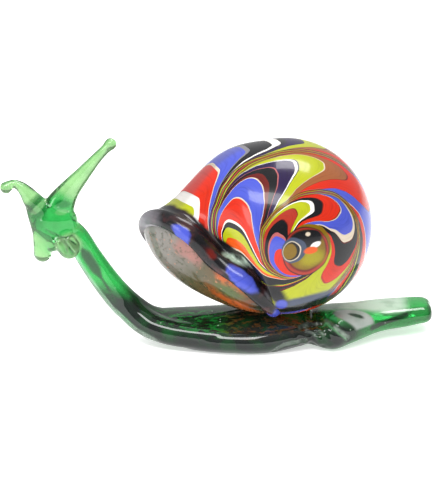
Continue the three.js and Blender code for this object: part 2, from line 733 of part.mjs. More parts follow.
// The neck, grown by an allowance where it cuts a neighbour
function neckGeometry(allowance) {
  const NECK_STEPS = 16;
  const NECK_SIDES = 16;
  const { lerp } = THREE.MathUtils;
  const start = neckRoot.clone().addScaledVector(FORWARD, SEAM);
  const rows = [
    [start.x, start.y, start.z, NECK_ROOT_WIDTH / 2 + allowance, NECK_ROOT_THICKNESS / 2 + allowance],
    ...NECK_SHAPE.map(([reach, lean, rise, toTop]) => {
      const half = lerp(NECK_THICKNESS, NECK_TOP_THICKNESS, toTop) / 2 + allowance;
      return [
        lerp(start.x, headCentre.x, reach),
        lerp(start.y, headCentre.y, lean),
        lerp(start.z, headCentre.z, rise),
        half,
        half,
      ];
    }),
  ];
  return skin(rodRings(rows, NECK_STEPS, NECK_SIDES, FORWARD));
}

// An eye stalk in the plane of the head, with a round tip, grown by an allowance where it cuts a neighbour
function stalkGeometry(shape, reach, rise, root, waist, allowance) {
  const STALK_STEPS = 14;
  const STALK_SIDES = 12;
  const { lerp } = THREE.MathUtils;
  const place = (across, up) => [headCentre.x + reach * across, headCentre.y, headCentre.z + rise * up];
  const tip = STALK_TIP_DIAMETER / 2 + allowance;
  const rows = [
    ...shape.map(([across, up, toWaist]) => [
      ...place(across, up),
      lerp(HEAD_DEPTH * STALK_FLATNESS, waist, toWaist) / 2 + allowance,
      lerp(root, waist, toWaist) / 2 + allowance,
    ]),
    [...place(1, 1), tip, tip],
  ];
  return skin(rodRings(rows, STALK_STEPS, STALK_SIDES));
}

// A mouth feeler: a short round lobe under the head
function feelerGeometry(shape, drop, width, allowance) {
  const FEELER_STEPS = 6;
  const FEELER_SIDES = 14;
  const rows = shape.map(([down, forward, near]) => [
    headCentre.x - forward,
    headCentre.y - near,
    headCentre.z - drop * down,
    FEELER_DEPTH / 2 + allowance,
    width / 2 + allowance,
  ]);
  return skin(rodRings(rows, FEELER_STEPS, FEELER_SIDES));
}

// The hub of the head, grown by an allowance where it cuts its lobes
function headGeometry(allowance) {
  const SIDES = 20;
  const STEPS = 12;
  const half = [HEAD_WIDTH, HEAD_DEPTH, HEAD_HEIGHT].map((size) => size / 2 + allowance);
  const rings = [];
  for (let i = 0; i <= STEPS; i++) {
    const angle = (i / STEPS) * Math.PI;
    const centre = headCentre.clone().addScaledVector(UP, half[2] * Math.cos(angle));
    const [wide, deep] = [half[0] * Math.sin(angle), half[1] * Math.sin(angle)];
    const isPole = i === 0 || i === STEPS;
    rings.push(isPole ? [centre] : ovalRing(centre, FORWARD, AWAY, wide, deep, SIDES));
  }
  return skin(rings);
}

// The whole ball, grown by an allowance where it presses its seat into the foot
function ballGeometry(allowance) {
  const SIDES = 36;
  const STEPS = 18;
  const rings = [];
  for (let i = 0; i <= STEPS; i++) {
    const fromApex = (i / STEPS) * Math.PI;
    const count = i === 0 || i === STEPS ? 1 : SIDES;
    rings.push(Array.from({ length: count }, (_, j) => (
      ballPoint(clockDirection(fromApex, (j / SIDES) * FULL_TURN), shellRadius + allowance)
    )));
  }
  return skin(rings);
}

const snail = new THREE.Group();

function addPiece(name, geometry, color) {
  const material = new THREE.MeshStandardMaterial({ color, roughness: GLASS_ROUGHNESS, metalness: 0 });
  const piece = new THREE.Mesh(geometry, material);
  piece.name = name;
  snail.add(piece);
}

// Green body
const ballCutter = ballGeometry(SEAM);
const lipCutter = lipGeometry(SEAM);
addPiece('foot', cut(footGeometry(), ballCutter, lipCutter), GREEN);
addPiece('tail', cut(tailGeometry(), ballCutter), GREEN);

const headCutter = headGeometry(SEAM);
const neckCutter = neckGeometry(SEAM);
const rearStalk = [
  REAR_STALK_SHAPE, REAR_STALK_REACH, REAR_STALK_RISE, REAR_STALK_ROOT, REAR_STALK_WAIST,
];
const frontStalk = [
  FRONT_STALK_SHAPE, -FRONT_STALK_REACH, FRONT_STALK_RISE, FRONT_STALK_ROOT, FRONT_STALK_WAIST,
];
const frontFeeler = [FRONT_FEELER_SHAPE, FRONT_FEELER_DROP, FRONT_FEELER_WIDTH];
const rearFeeler = [REAR_FEELER_SHAPE, REAR_FEELER_DROP, REAR_FEELER_WIDTH];
const rearStalkCutter = stalkGeometry(...rearStalk, SEAM);
const frontFeelerCutter = feelerGeometry(...frontFeeler, SEAM);
addPiece('neck', cut(neckGeometry(0), headCutter), GREEN);
addPiece('head', headGeometry(0), GREEN);
addPiece('rear_eye_stalk', cut(stalkGeometry(...rearStalk, 0), headCutter), GREEN);
addPiece('front_eye_stalk', cut(stalkGeometry(...frontStalk, 0), headCutter, rearStalkCutter), GREEN);
addPiece('front_mouth_feeler', cut(feelerGeometry(...frontFeeler, 0), headCutter), GREEN);
addPiece(
  'rear_mouth_feeler',
  cut(feelerGeometry(...rearFeeler, 0), headCutter, neckCutter, frontFeelerCutter),
  GREEN,
);

// Shell
let clock = FIRST_CANE_CLOCK;
CANES.forEach(([name, colour, degrees]) => {
  const end = clock + THREE.MathUtils.degToRad(degrees);
  const [front, ...back] = caneGeometries(clock, end);
  addPiece(name, front, colour);
  back.forEach((geometry, i) => addPiece(`${name}_back${i > 0 ? i + 1 : ''}`, geometry, colour));
  clock = end;
});
addPiece('apex_coil', apexCoilGeometry(), APEX_COLOUR);
addPiece('shell_core', cut(coreGeometry(), lipCutter, mouthFaceGeometry(SEAM)), CORE_COLOUR);
addPiece('mouth_lip', lipGeometry(0), LIP_COLOUR);
addPiece('mouth_face', cut(mouthFaceGeometry(0), lipCutter), MOUTH_COLOUR);

// The origin lies under the middle of the whole snail
const box = new THREE.Box3().setFromObject(snail);
const boxMiddle = box.getCenter(new THREE.Vector3());
snail.position.set(-boxMiddle.x, -boxMiddle.y, -box.min.z);

export default snail;
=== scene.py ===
import math

import bpy
import numpy as np
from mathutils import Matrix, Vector


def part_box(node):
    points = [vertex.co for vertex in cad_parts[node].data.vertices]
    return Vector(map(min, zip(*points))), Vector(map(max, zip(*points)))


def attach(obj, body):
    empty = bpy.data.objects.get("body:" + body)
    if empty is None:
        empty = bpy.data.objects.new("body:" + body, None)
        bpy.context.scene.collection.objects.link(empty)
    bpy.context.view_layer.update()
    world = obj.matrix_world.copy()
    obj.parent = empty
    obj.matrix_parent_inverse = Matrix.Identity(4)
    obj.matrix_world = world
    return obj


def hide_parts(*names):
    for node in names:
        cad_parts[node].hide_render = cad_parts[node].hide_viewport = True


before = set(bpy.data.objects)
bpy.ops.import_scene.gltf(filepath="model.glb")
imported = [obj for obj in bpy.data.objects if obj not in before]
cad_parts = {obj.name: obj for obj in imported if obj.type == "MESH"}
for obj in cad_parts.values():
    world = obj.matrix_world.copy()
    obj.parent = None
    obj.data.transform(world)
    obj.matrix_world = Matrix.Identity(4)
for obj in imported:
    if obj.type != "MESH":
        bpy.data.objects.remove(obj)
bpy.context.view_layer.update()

scene = bpy.context.scene
MM = 0.001
rad = math.radians


def vec(*v):
    return np.array(v, dtype=float)


def unit(v):
    v = np.asarray(v, dtype=float)
    return v / np.linalg.norm(v, axis=-1, keepdims=True)


def facing(turn, lift):
    """The way to the photo's camera, turned to the right and lifted, in degrees."""
    turn = rad(turn)
    lift = rad(lift)
    return vec(math.sin(turn) * math.cos(lift), -math.cos(turn) * math.cos(lift), math.sin(lift))


def smooth(a, b, x):
    """Goes from 0 at a to 1 at b without corners."""
    t = np.clip((x - a) / (b - a), 0, 1)
    return t * t * (3 - 2 * t)


def lerp(a, b, t):
    return a + (b - a) * t


def bell(value, middle, width):
    return np.exp(-((value - middle) / width) ** 2)


# Places are in millimetres from a point on the table under the shell: x runs from the head to the tail,
# y away from the photo's camera and z up. The head's solid gives the shift to the row frame.
AHEAD = vec(-1, 0, 0)
AWAY = vec(0, 1, 0)
UP = vec(0, 0, 1)
HEAD = vec(-86.2, -6.5, 50.8)
SHELL = vec(0, 1.0, 46.6)
head_low, head_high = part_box("head")
SHIFT = (np.array(head_low) + np.array(head_high)) / 2 / MM - HEAD


# Meshes
def new_object(name, verts, faces):
    mesh = bpy.data.meshes.new(name)
    points = (np.asarray(verts) + SHIFT) * MM
    mesh.from_pydata(points.tolist(), [], [list(map(int, face)) for face in faces])
    mesh.update()
    obj = bpy.data.objects.new(name, mesh)
    scene.collection.objects.link(obj)
    return obj


def tube(rings):
    """Closed body from rings of one size, with a fan at each end."""
    rings = np.asarray(rings)
    rows, cols, _ = rings.shape
    verts = np.concatenate([rings.reshape(-1, 3), rings[:1].mean(axis=1), rings[-1:].mean(axis=1)])
    faces = []
    for row in range(rows - 1):
        this = row * cols
        following = this + cols
        for j in range(cols):
            k = (j + 1) % cols
            faces.append((this + j, this + k, following + k, following + j))
    first_middle = rows * cols
    last_middle = first_middle + 1
    last = (rows - 1) * cols
    for j in range(cols):
        k = (j + 1) % cols
        faces.append((first_middle, k, j))
        faces.append((last_middle, last + j, last + k))
    return verts, faces


def read_rows(rows, shares):
    """Rows at shares of the way along a smooth curve through the given ones."""
    rows = np.asarray(rows, dtype=float)
    last = len(rows) - 1
    place = np.asarray(shares) * last
    first = np.minimum(np.floor(place).astype(int), last - 1)
    t = (place - first)[:, None]
    before = rows[np.clip(first - 1, 0, last)]
    start = rows[first]
    end = rows[first + 1]
    after = rows[np.clip(first + 2, 0, last)]
    leave = (end - before) / 2
    arrive = (after - start) / 2
    square = 3 * (end - start) - 2 * leave - arrive
    cube = 2 * (start - end) + leave + arrive
    return start + t * (leave + t * (square + t * cube))


def oval(centre, side, over, wide, thick, sides, power=2.0):
    """Ring of points. A power over 2 makes it squarer."""
    angle = np.linspace(0, 2 * np.pi, sides, endpoint=False)
    across = np.sign(np.cos(angle)) * np.abs(np.cos(angle)) ** (2 / power)
    up = np.sign(np.sin(angle)) * np.abs(np.sin(angle)) ** (2 / power)
    return centre + np.outer(across, side * wide) + np.outer(up, over * thick)


END_RINGS = 8
SMALLEST_RING = 0.02


def rod(rows, count, sides, starts=None):
    """Bar through rows of place and two half thicknesses, with a round end."""
    shares = np.linspace(0, 1, count + 1)
    at = read_rows(rows, shares)
    step = 0.5 / count
    ahead = read_rows(rows, np.clip(shares + step, 0, 1))[:, :3]
    behind = read_rows(rows, np.clip(shares - step, 0, 1))[:, :3]
    along = unit(ahead - behind)
    if starts is not None:
        along[0] = starts
    rings = []
    for row, way in zip(at, along):
        side = unit(AWAY - way * AWAY.dot(way))
        over = np.cross(way, side)
        rings.append(oval(row[:3], side, over, row[3], row[4], sides))
    # The last row and its directions go on into the round end
    for angle in np.linspace(0, np.pi / 2, END_RINGS + 1)[1:]:
        shrink = max(math.cos(angle), SMALLEST_RING)
        place = row[:3] + way * row[4] * math.sin(angle)
        rings.append(oval(place, side, over, row[3] * shrink, row[4] * shrink, sides))
    return tube(rings)


LOAF_RINGS = 60
LOAF_SIDES = 96


def loaf(rows, power):
    """Rings along x from rows of x, y, half width, top and underside, cut flat by the table."""
    rings = []
    for x, y, wide, top, under in read_rows(rows, np.linspace(0, 1, LOAF_RINGS + 1)):
        ring = oval(vec(x, y, (top + under) / 2), AWAY, UP, wide, (top - under) / 2, LOAF_SIDES, power)
        ring[:, 2] = np.maximum(ring[:, 2], 0)
        rings.append(ring)
    return rings


# Green body: follows the solids, fused into one piece of glass
FOOT_FRONT = -46.6
TAIL_SEAM = 10.4
FOOT_HALF = 17.6
FOOT_TOP = 12.6
FOOT_SINK = 2.5
FRONT_HALF = 9.8
FRONT_UNDER = 2.6
CRIMP_HALF = 12.5
CRIMP_UNDER = 0.8
# Shares of the foot's length, its half width and its sink under the table
FOOT_SHAPE = [(0.19, 0.8, 0.6), (0.46, 0.98, 1), (0.72, 0.95, 1)]
CRIMP_ROW = [TAIL_SEAM, 0, CRIMP_HALF, FOOT_TOP, CRIMP_UNDER]
SADDLE_RISE = 3.2
SADDLE_REACH = 17.0


def foot_rings():
    rows = [[FOOT_FRONT, 0, FRONT_HALF, FOOT_TOP, FRONT_UNDER]]
    for along, wide, sink in FOOT_SHAPE:
        x = FOOT_FRONT + (TAIL_SEAM - FOOT_FRONT) * along
        rows.append([x, 0, FOOT_HALF * wide, FOOT_TOP, -FOOT_SINK * sink])
    rows.append(CRIMP_ROW)
    rings = np.array(loaf(rows, power=2.0))
    from_shell = np.hypot(rings[..., 0] - SHELL[0], rings[..., 1] - SHELL[1])
    rings[..., 2] += SADDLE_RISE * (rings[..., 2] / FOOT_TOP) ** 2 * bell(from_shell, 0, SADDLE_REACH)
    return rings


TAIL_START = TAIL_SEAM + 0.3
TAIL_LENGTH = 45.0
TAIL_SWING = 12.0
# Width, top and underside of the tail's two ends
TAIL_ROOT = vec(28, 13.6, -1.25)
TAIL_TIP = vec(17, 12.4, 3.8)
# Shares of the tail's length, its swing to the far side and the way from root to tip
TAIL_SHAPE = [(0.18, 0, 0), (0.36, 0.24, 0.3), (0.59, 0.68, 0.68), (0.82, 0.9, 0.85), (1, 1, 1)]
TIP_ROUND = 4.4
SOLID_TIP_ROUND = 2.0
TIP_TUCK = 0.8
TIP_RINGS = 11


def tail_rings():
    rows = [list(CRIMP_ROW)]
    for along, swing, tip in TAIL_SHAPE:
        wide, top, under = lerp(TAIL_ROOT, TAIL_TIP, tip)
        rows.append([TAIL_START + TAIL_LENGTH * along, TAIL_SWING * swing, wide / 2, top, under])
    rows[-1][0] -= TIP_ROUND - SOLID_TIP_ROUND
    rings = loaf(rows, power=2.3)
    tip = rings[-1]
    middle = tip.mean(axis=0)
    reach = np.linalg.norm(tip - middle, axis=1, keepdims=True)
    for angle in np.linspace(0, np.pi / 2, TIP_RINGS + 1)[1:]:
        tuck = TIP_ROUND * TIP_TUCK * (1 - math.cos(angle))
        ring = middle + (tip - middle) * (reach - tuck) / reach
        ring[:, 0] += TIP_ROUND * math.sin(angle)
        rings.append(ring)
    return np.array(rings)


NECK_ROOT = vec(FOOT_FRONT, 0, 7.6)
NECK_ROOT_THICK = 5.0
NECK_LOW = 11.5
NECK_HIGH = 9.0
# Shares of the way from the neck's root to the head along x, y and z, and from its low to its high thickness
NECK_SHAPE = [
    (0.164, 0, 0.048, 0), (0.341, 0.08, 0.182, 0), (0.503, 0.23, 0.37, 0.3), (0.68, 0.54, 0.64, 0.6),
    (0.805, 0.77, 0.857, 0.9), (0.96, 1, 1, 1),
]
# The neck's rod runs on as a roll along the foot's near edge: place and radius
ROLL = [
    (-66.5, -1.5, 23.6, 4.6), (-60.1, -1.5, 15.5, 5.2), (-53.0, -4.0, 9.6, 5.3), (-45.0, -7.5, 7.2, 5.1),
    (-35.0, -9.6, 6.1, 5.0), (-22.0, -11.2, 5.4, 5.0), (-8.0, -10.6, 5.0, 4.4), (0.0, -8.0, 4.8, 3.4),
]


def neck_rows():
    rows = [[*NECK_ROOT, FRONT_HALF, NECK_ROOT_THICK]]
    for ahead, sideways, rise, high in NECK_SHAPE:
        place = NECK_ROOT + (HEAD - NECK_ROOT) * vec(ahead, sideways, rise)
        half = lerp(NECK_LOW, NECK_HIGH, high) / 2
        rows.append([*place, half, half])
    return rows


def roll_rows():
    return [[x, y, z, radius, radius] for x, y, z, radius in ROLL]


LIMB_SIDES = 40
STALK_DEEP = 7.8
STALK_KNOB = 2.45
# Shares of a stalk's reach and rise, and of the way from its root's thickness to its thin end
FRONT_STALK = [(0.14, 0.2, 0), (0.44, 0.6, 0.05), (0.58, 0.86, 0.45), (0.71, 1.04, 0.8), (0.85, 1.12, 1)]
REAR_STALK = [
    (0.03, 0.1, 0), (0.11, 0.24, 0.05), (0.26, 0.41, 0.42), (0.51, 0.62, 0.72), (0.745, 0.815, 0.93),
    (0.91, 0.935, 1),
]


def stalk(shape, reach, rise, root, thin):
    rows = []
    for across, up, waist in shape:
        place = HEAD + vec(reach * across, 0, rise * up)
        rows.append([*place, lerp(STALK_DEEP, thin, waist) / 2, lerp(root, thin, waist) / 2])
    rows.append([*(HEAD + vec(reach, 0, rise)), STALK_KNOB, STALK_KNOB])
    return rod(rows, count=60, sides=LIMB_SIDES)


LOBE_HALF_DEEP = 2.8
# Share of a lobe's drop, and millimetres forward of the head and nearer than it
FRONT_LOBE = [(-0.6, 7.6, 0), (-0.28, 6.9, 0), (0.02, 6.0, 0), (0.28, 5.2, 0.2), (0.6, 4.9, 0.5), (1, 4.9, 1)]
LOBE_WEB = [(0.3, 1.4, 0.8), (0.7, 1.2, 1.6), (1, 0.8, 2.2)]
REAR_LOBE = [(0.2, -1.8, 1.5), (0.6, -3.1, 3.4), (1, -5.2, 4.4)]


def lobe(shape, drop, width, count):
    rows = []
    for down, forward, near in shape:
        rows.append([*(HEAD - vec(forward, near, drop * down)), LOBE_HALF_DEEP, width / 2])
    return rod(rows, count, LIMB_SIDES)


HEAD_HALF_LONG = 8.6
HEAD_HALF_DEEP = 5.2
HEAD_HALF_TALL = 8.2
HEAD_POLE = 0.04
HEAD_RINGS = 40
HEAD_SIDES = 48


def head_ball():
    rings = []
    for angle in np.linspace(HEAD_POLE, np.pi - HEAD_POLE, HEAD_RINGS):
        centre = HEAD + UP * HEAD_HALF_TALL * math.cos(angle)
        size = math.sin(angle)
        rings.append(oval(centre, AWAY * HEAD_HALF_DEEP, AHEAD * HEAD_HALF_LONG, size, size, HEAD_SIDES))
    return tube(rings)


def fused(name, parts, voxel, rounds):
    """One piece from many that overlap, melted together and softened."""
    verts = []
    faces = []
    start = 0
    for part_verts, part_faces in parts:
        verts.append(part_verts)
        faces += [tuple(i + start for i in face) for face in part_faces]
        start += len(part_verts)
    obj = new_object(name, np.concatenate(verts), faces)
    melt = obj.modifiers.new("melt", "REMESH")
    melt.mode = "VOXEL"
    melt.voxel_size = voxel * MM
    flow = obj.modifiers.new("flow", "SMOOTH")
    flow.factor = 0.5
    flow.iterations = rounds
    graph = bpy.context.evaluated_depsgraph_get()
    mesh = bpy.data.meshes.new_from_object(obj.evaluated_get(graph))
    obj.modifiers.clear()
    obj.data = mesh
    return obj


body = fused("green_body", [
    tube(foot_rings()),
    tube(tail_rings()),
    rod(neck_rows(), count=80, sides=64, starts=AHEAD),
    rod(roll_rows(), count=80, sides=64),
    head_ball(),
    stalk(FRONT_STALK, reach=-17.95, rise=13.6, root=7.6, thin=3.2),
    stalk(REAR_STALK, reach=21.2, rise=30.6, root=11.4, thin=3.8),
    lobe(FRONT_LOBE, drop=12, width=7.2, count=40),
    lobe(LOBE_WEB, drop=8.2, width=5.6, count=30),
    lobe(REAR_LOBE, drop=8.8, width=8.6, count=30),
], voxel=0.5, rounds=12)


def surface(mesh):
    """Places in millimetres and normals of a mesh's points."""
    points = np.zeros(len(mesh.vertices) * 3)
    normals = np.zeros(len(mesh.vertices) * 3)
    mesh.vertices.foreach_get("co", points)
    mesh.vertex_normals.foreach_get("vector", normals)
    return points.reshape(-1, 3) / MM - SHIFT, normals.reshape(-1, 3)


def from_line(points, a, b):
    """Distance from a straight run, and the share of the run where it is nearest."""
    a = vec(*a)
    run = vec(*b) - a
    share = np.clip((points - a) @ run / np.dot(run, run), 0, 1)
    return np.linalg.norm(points - a - share[:, None] * run, axis=1), share


def from_path(points, path):
    """Distance from a path of straight runs."""
    return np.min([from_line(points, a, b)[0] for a, b in zip(path[:-1], path[1:])], axis=0)


# Creases in the pressed glass: path, depth and half width
CRIMP_CREASES = [
    ([(16.1, -9.0, 12.1), (18.3, -11.4, 11.0), (21.3, -12.6, 8.6), (24.4, -11.0, 5.6)], 0.9, 0.9),
    (
        [(-4.1, -13.6, 0.5), (-2.2, -15.4, 2.8), (0.0, -15.3, 4.4), (3.8, -14.2, 4.8), (8.0, -12.9, 5.1)],
        0.7, 0.9,
    ),
    ([(8.8, -12.8, 8.3), (11.4, -12.6, 7.8), (14.4, -13.3, 8.1)], 0.7, 0.8),
    ([(6.9, -12.1, 10.5), (10.7, -10.3, 11.0), (14.5, -10.2, 11.4)], 0.9, 1.0),
]
HEAD_CREASES = [
    ([(-85.5, -11.5, 46.9), (-84.0, -12.6, 45.3), (-82.5, -13.3, 43.2), (-82.0, -13.6, 41.4)], 1.0, 0.8),
    ([(-82.5, -12.5, 45.6), (-81.0, -13.1, 43.4), (-79.4, -13.2, 41.0)], 1.0, 0.7),
    ([(-80.0, -12.2, 45.5), (-78.4, -11.9, 43.6), (-77.2, -10.2, 41.4)], 0.9, 0.7),
    ([(-89.6, -11.1, 49.1), (-85.9, -11.7, 46.1), (-81.7, -12.2, 46.7), (-77.8, -9.2, 47.6)], 0.5, 0.7),
]
CRIMP_X = 12.0
CRIMP_REACH = 6.0
CRUMPLE_DEPTH = 0.35


def press_creases(piece):
    """Sinks the creases and the crumpled near side of the crimp into the glass."""
    points, normals = surface(piece.data)
    sink = np.zeros(len(points))
    for path, depth, width in CRIMP_CREASES + HEAD_CREASES:
        sink += depth * bell(from_path(points, path), 0, width)
    x, y, z = points.T
    crumpled = bell(x, CRIMP_X, CRIMP_REACH) * smooth(-2, -7, y) * smooth(1, 3, z)
    wander = 1.3 * np.sin(0.8 * z - 0.5 * y)
    wave = np.sin(1.5 * x + 0.9 * z + wander)
    sink += CRUMPLE_DEPTH * crumpled * (1 + wave)
    piece.data.vertices.foreach_set("co", ((points - normals * sink[:, None] + SHIFT) * MM).ravel())
    piece.data.update()


press_creases(body)

# Shell: ball, throat and rolled lip in one skin. Sizes named SHARE are shares of the radius.
RADIUS = 33.59
DEPTH_SHARE = 0.94
APEX = facing(18.4, 4.4)
MOUTH_YAW = rad(-13.5)
MOUTH_PITCH = rad(32.7)
MOUTH_ROLL = rad(43)
LEVEL = vec(math.cos(MOUTH_YAW), math.sin(MOUTH_YAW), 0)
LONG = LEVEL * math.cos(MOUTH_PITCH) - UP * math.sin(MOUTH_PITCH)
NEAR = unit(np.cross(LONG, UP))
OUT = NEAR * math.sin(MOUTH_ROLL) - np.cross(NEAR, LONG) * math.cos(MOUTH_ROLL)
SHORT = np.cross(OUT, LONG)
MOUTH = SHELL + RADIUS * vec(-0.836, -0.257, -0.38)
MOUTH_LONG_SHARE = 0.953
MOUTH_SHORT_SHARE = 0.595
THROAT_DROP_SHARE = 0.15
THROAT_OUT = unit(MOUTH - THROAT_DROP_SHARE * RADIUS * SHORT - SHELL)
THROAT_LONG = unit(LONG - THROAT_OUT * LONG.dot(THROAT_OUT))
THROAT_SHORT = np.cross(THROAT_OUT, THROAT_LONG)
THROAT_HALF = rad(57)
THROAT_RISE = rad(52)
CROWN_POWER = 1.3
SHOULDER_SHARE = 0.075
# Brings the highest value of t ** 2 * (1 - t) ** 4 to 1
SHOULDER_TO_ONE = 45.6
# How far the throat's curve follows the ball and the lip, in lengths of its chord
LEAVE_PULL = 1.2
FLARE_PULL = 0.7
LIP_THIN_SHARE = 0.086
LIP_THICK_SHARE = 0.25
LIP_WAVE_SHARE = 0.05
PINCH_SHARE = 0.16
PINCH_MIDDLE = rad(90)
PINCH_REACH = rad(17)
# Degrees round the lip's roll
LIP_FROM = -45
LIP_TO = 190
BALL_POLE = 0.002
BALL_ROWS = 170
THROAT_ROWS = 60
LIP_ROWS = 40
SHELL_COLS = 360


def ball_point(way):
    return SHELL + way * RADIUS + APEX * (way @ APEX)[..., None] * RADIUS * (DEPTH_SHARE - 1)


def around(theta, phi):
    """Ways from the shell's middle: theta from the pole opposite the throat, phi round the throat."""
    theta, phi = np.broadcast_arrays(theta, phi)
    return (-THROAT_OUT * np.cos(theta)[..., None] + THROAT_LONG * (np.sin(theta) * np.cos(phi))[..., None]
            + THROAT_SHORT * (np.sin(theta) * np.sin(phi))[..., None])


def crown_share(phi):
    """0 at the mouth's lower end, 1 at its upper end."""
    return ((1 - np.cos(phi)) / 2) ** CROWN_POWER


def lip_radius(phi):
    return lerp(LIP_THIN_SHARE, LIP_THICK_SHARE, (1 + np.sin(phi)) / 2) / 2 * RADIUS


def lip_line(phi):
    inset = lip_radius(phi)
    long = np.cos(phi) * (MOUTH_LONG_SHARE * RADIUS - inset)
    short = np.sin(phi) * (MOUTH_SHORT_SHARE * RADIUS - inset)
    short -= PINCH_SHARE * RADIUS * bell(phi, PINCH_MIDDLE, PINCH_REACH)
    out = LIP_WAVE_SHARE * RADIUS * np.sin(2 * phi)
    return MOUTH + LONG * long[..., None] + SHORT * short[..., None] + OUT * out[..., None]


def shell_rings():
    phi = np.linspace(0, 2 * np.pi, SHELL_COLS, endpoint=False)
    crown = crown_share(phi)
    edge = math.pi - THROAT_HALF - THROAT_RISE * crown
    rings = [ball_point(around(edge * share, phi)) for share in np.linspace(BALL_POLE, 1, BALL_ROWS)]
    line = lip_line(phi)
    radius = lip_radius(phi)[:, None]
    outward = unit(line - MOUTH)
    start = rings[-1]
    end = line + radius * unit(outward - OUT)
    chord = np.linalg.norm(end - start, axis=1, keepdims=True)
    leaves = around(edge + np.pi / 2, phi) * LEAVE_PULL * chord
    flares = unit(outward + OUT) * FLARE_PULL * chord
    shoulder = around(np.pi / 2, phi) * SHOULDER_SHARE * RADIUS * crown[:, None]
    for t in np.linspace(0, 1, THROAT_ROWS + 1)[1:]:
        curve = start * (1 + t * t * (2 * t - 3)) + leaves * t * (t - 1) ** 2
        curve = curve + end * t * t * (3 - 2 * t) + flares * t * t * (t - 1)
        rings.append(curve + shoulder * SHOULDER_TO_ONE * t ** 2 * (1 - t) ** 4)
    for angle in np.radians(np.linspace(LIP_FROM, LIP_TO, LIP_ROWS + 1)[1:]):
        rings.append(line + radius * (outward * math.cos(angle) + OUT * math.sin(angle)))
    return rings


def way_to_lip():
    """0 on the ball, rising along the throat to 1 on the lip, for each point of the shell."""
    rows = np.concatenate([np.zeros(BALL_ROWS), np.linspace(0, 1, THROAT_ROWS + 1)[1:], np.ones(LIP_ROWS)])
    return np.append(np.repeat(rows, SHELL_COLS), [0, 1])


def add_values(mesh, name, values):
    mesh.attributes.new(name, "FLOAT", "POINT").data.foreach_set("value", values)


FACE_LIFT = 1.5
FACE_CROWN = 6.4
FACE_EDGE_LIFT = 0.3
FACE_LEAN = 0.45
FACE_POWER = 3.5
FACE_MIDDLE = 0.01
FACE_RINGS = 60
FACE_COLS = 240


def mouth_rings():
    """The face that closes the mouth: a low dome that leans to one long side of it."""
    phi = np.linspace(0, 2 * np.pi, FACE_COLS, endpoint=False)
    edge = lip_line(phi)
    rings = [edge + OUT * FACE_EDGE_LIFT]
    for share in np.linspace(1, FACE_MIDDLE, FACE_RINGS):
        dome = (1 - share ** FACE_POWER) * (1 - FACE_LEAN * share * np.sin(phi))
        rings.append(MOUTH + (edge - MOUTH) * share + OUT * (FACE_LIFT + FACE_CROWN * dome)[:, None])
    return rings


shell = new_object("glass_shell", *tube(shell_rings()))
add_values(shell.data, "to_lip", way_to_lip())
mouth = new_object("mouth_glass", *tube(mouth_rings()))

GREEN_NODES = [
    "foot", "tail", "neck", "head", "rear_eye_stalk", "front_eye_stalk",
    "front_mouth_feeler", "rear_mouth_feeler",
]
SHELL_NODES = [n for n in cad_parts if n.startswith("cane_")] + ["shell_core", "apex_coil", "mouth_lip"]

for piece in (body, shell, mouth):
    for face in piece.data.polygons:
        face.use_smooth = True
    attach(piece, "root")
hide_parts(*GREEN_NODES)
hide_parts(*SHELL_NODES)
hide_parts("mouth_face")


# Materials
class Field:
    """A number that varies over a surface. Sums of fields are written as usual."""

    def __init__(self, nodes, socket):
        self.nodes = nodes
        self.socket = socket

    def __add__(self, other):
        return self.nodes.math("ADD", self, other)

    def __sub__(self, other):
        return self.nodes.math("SUBTRACT", self, other)

    def __rsub__(self, other):
        return self.nodes.math("SUBTRACT", other, self)

    def __mul__(self, other):
        return self.nodes.math("MULTIPLY", self, other)

    def __truediv__(self, other):
        return self.nodes.math("DIVIDE", self, other)


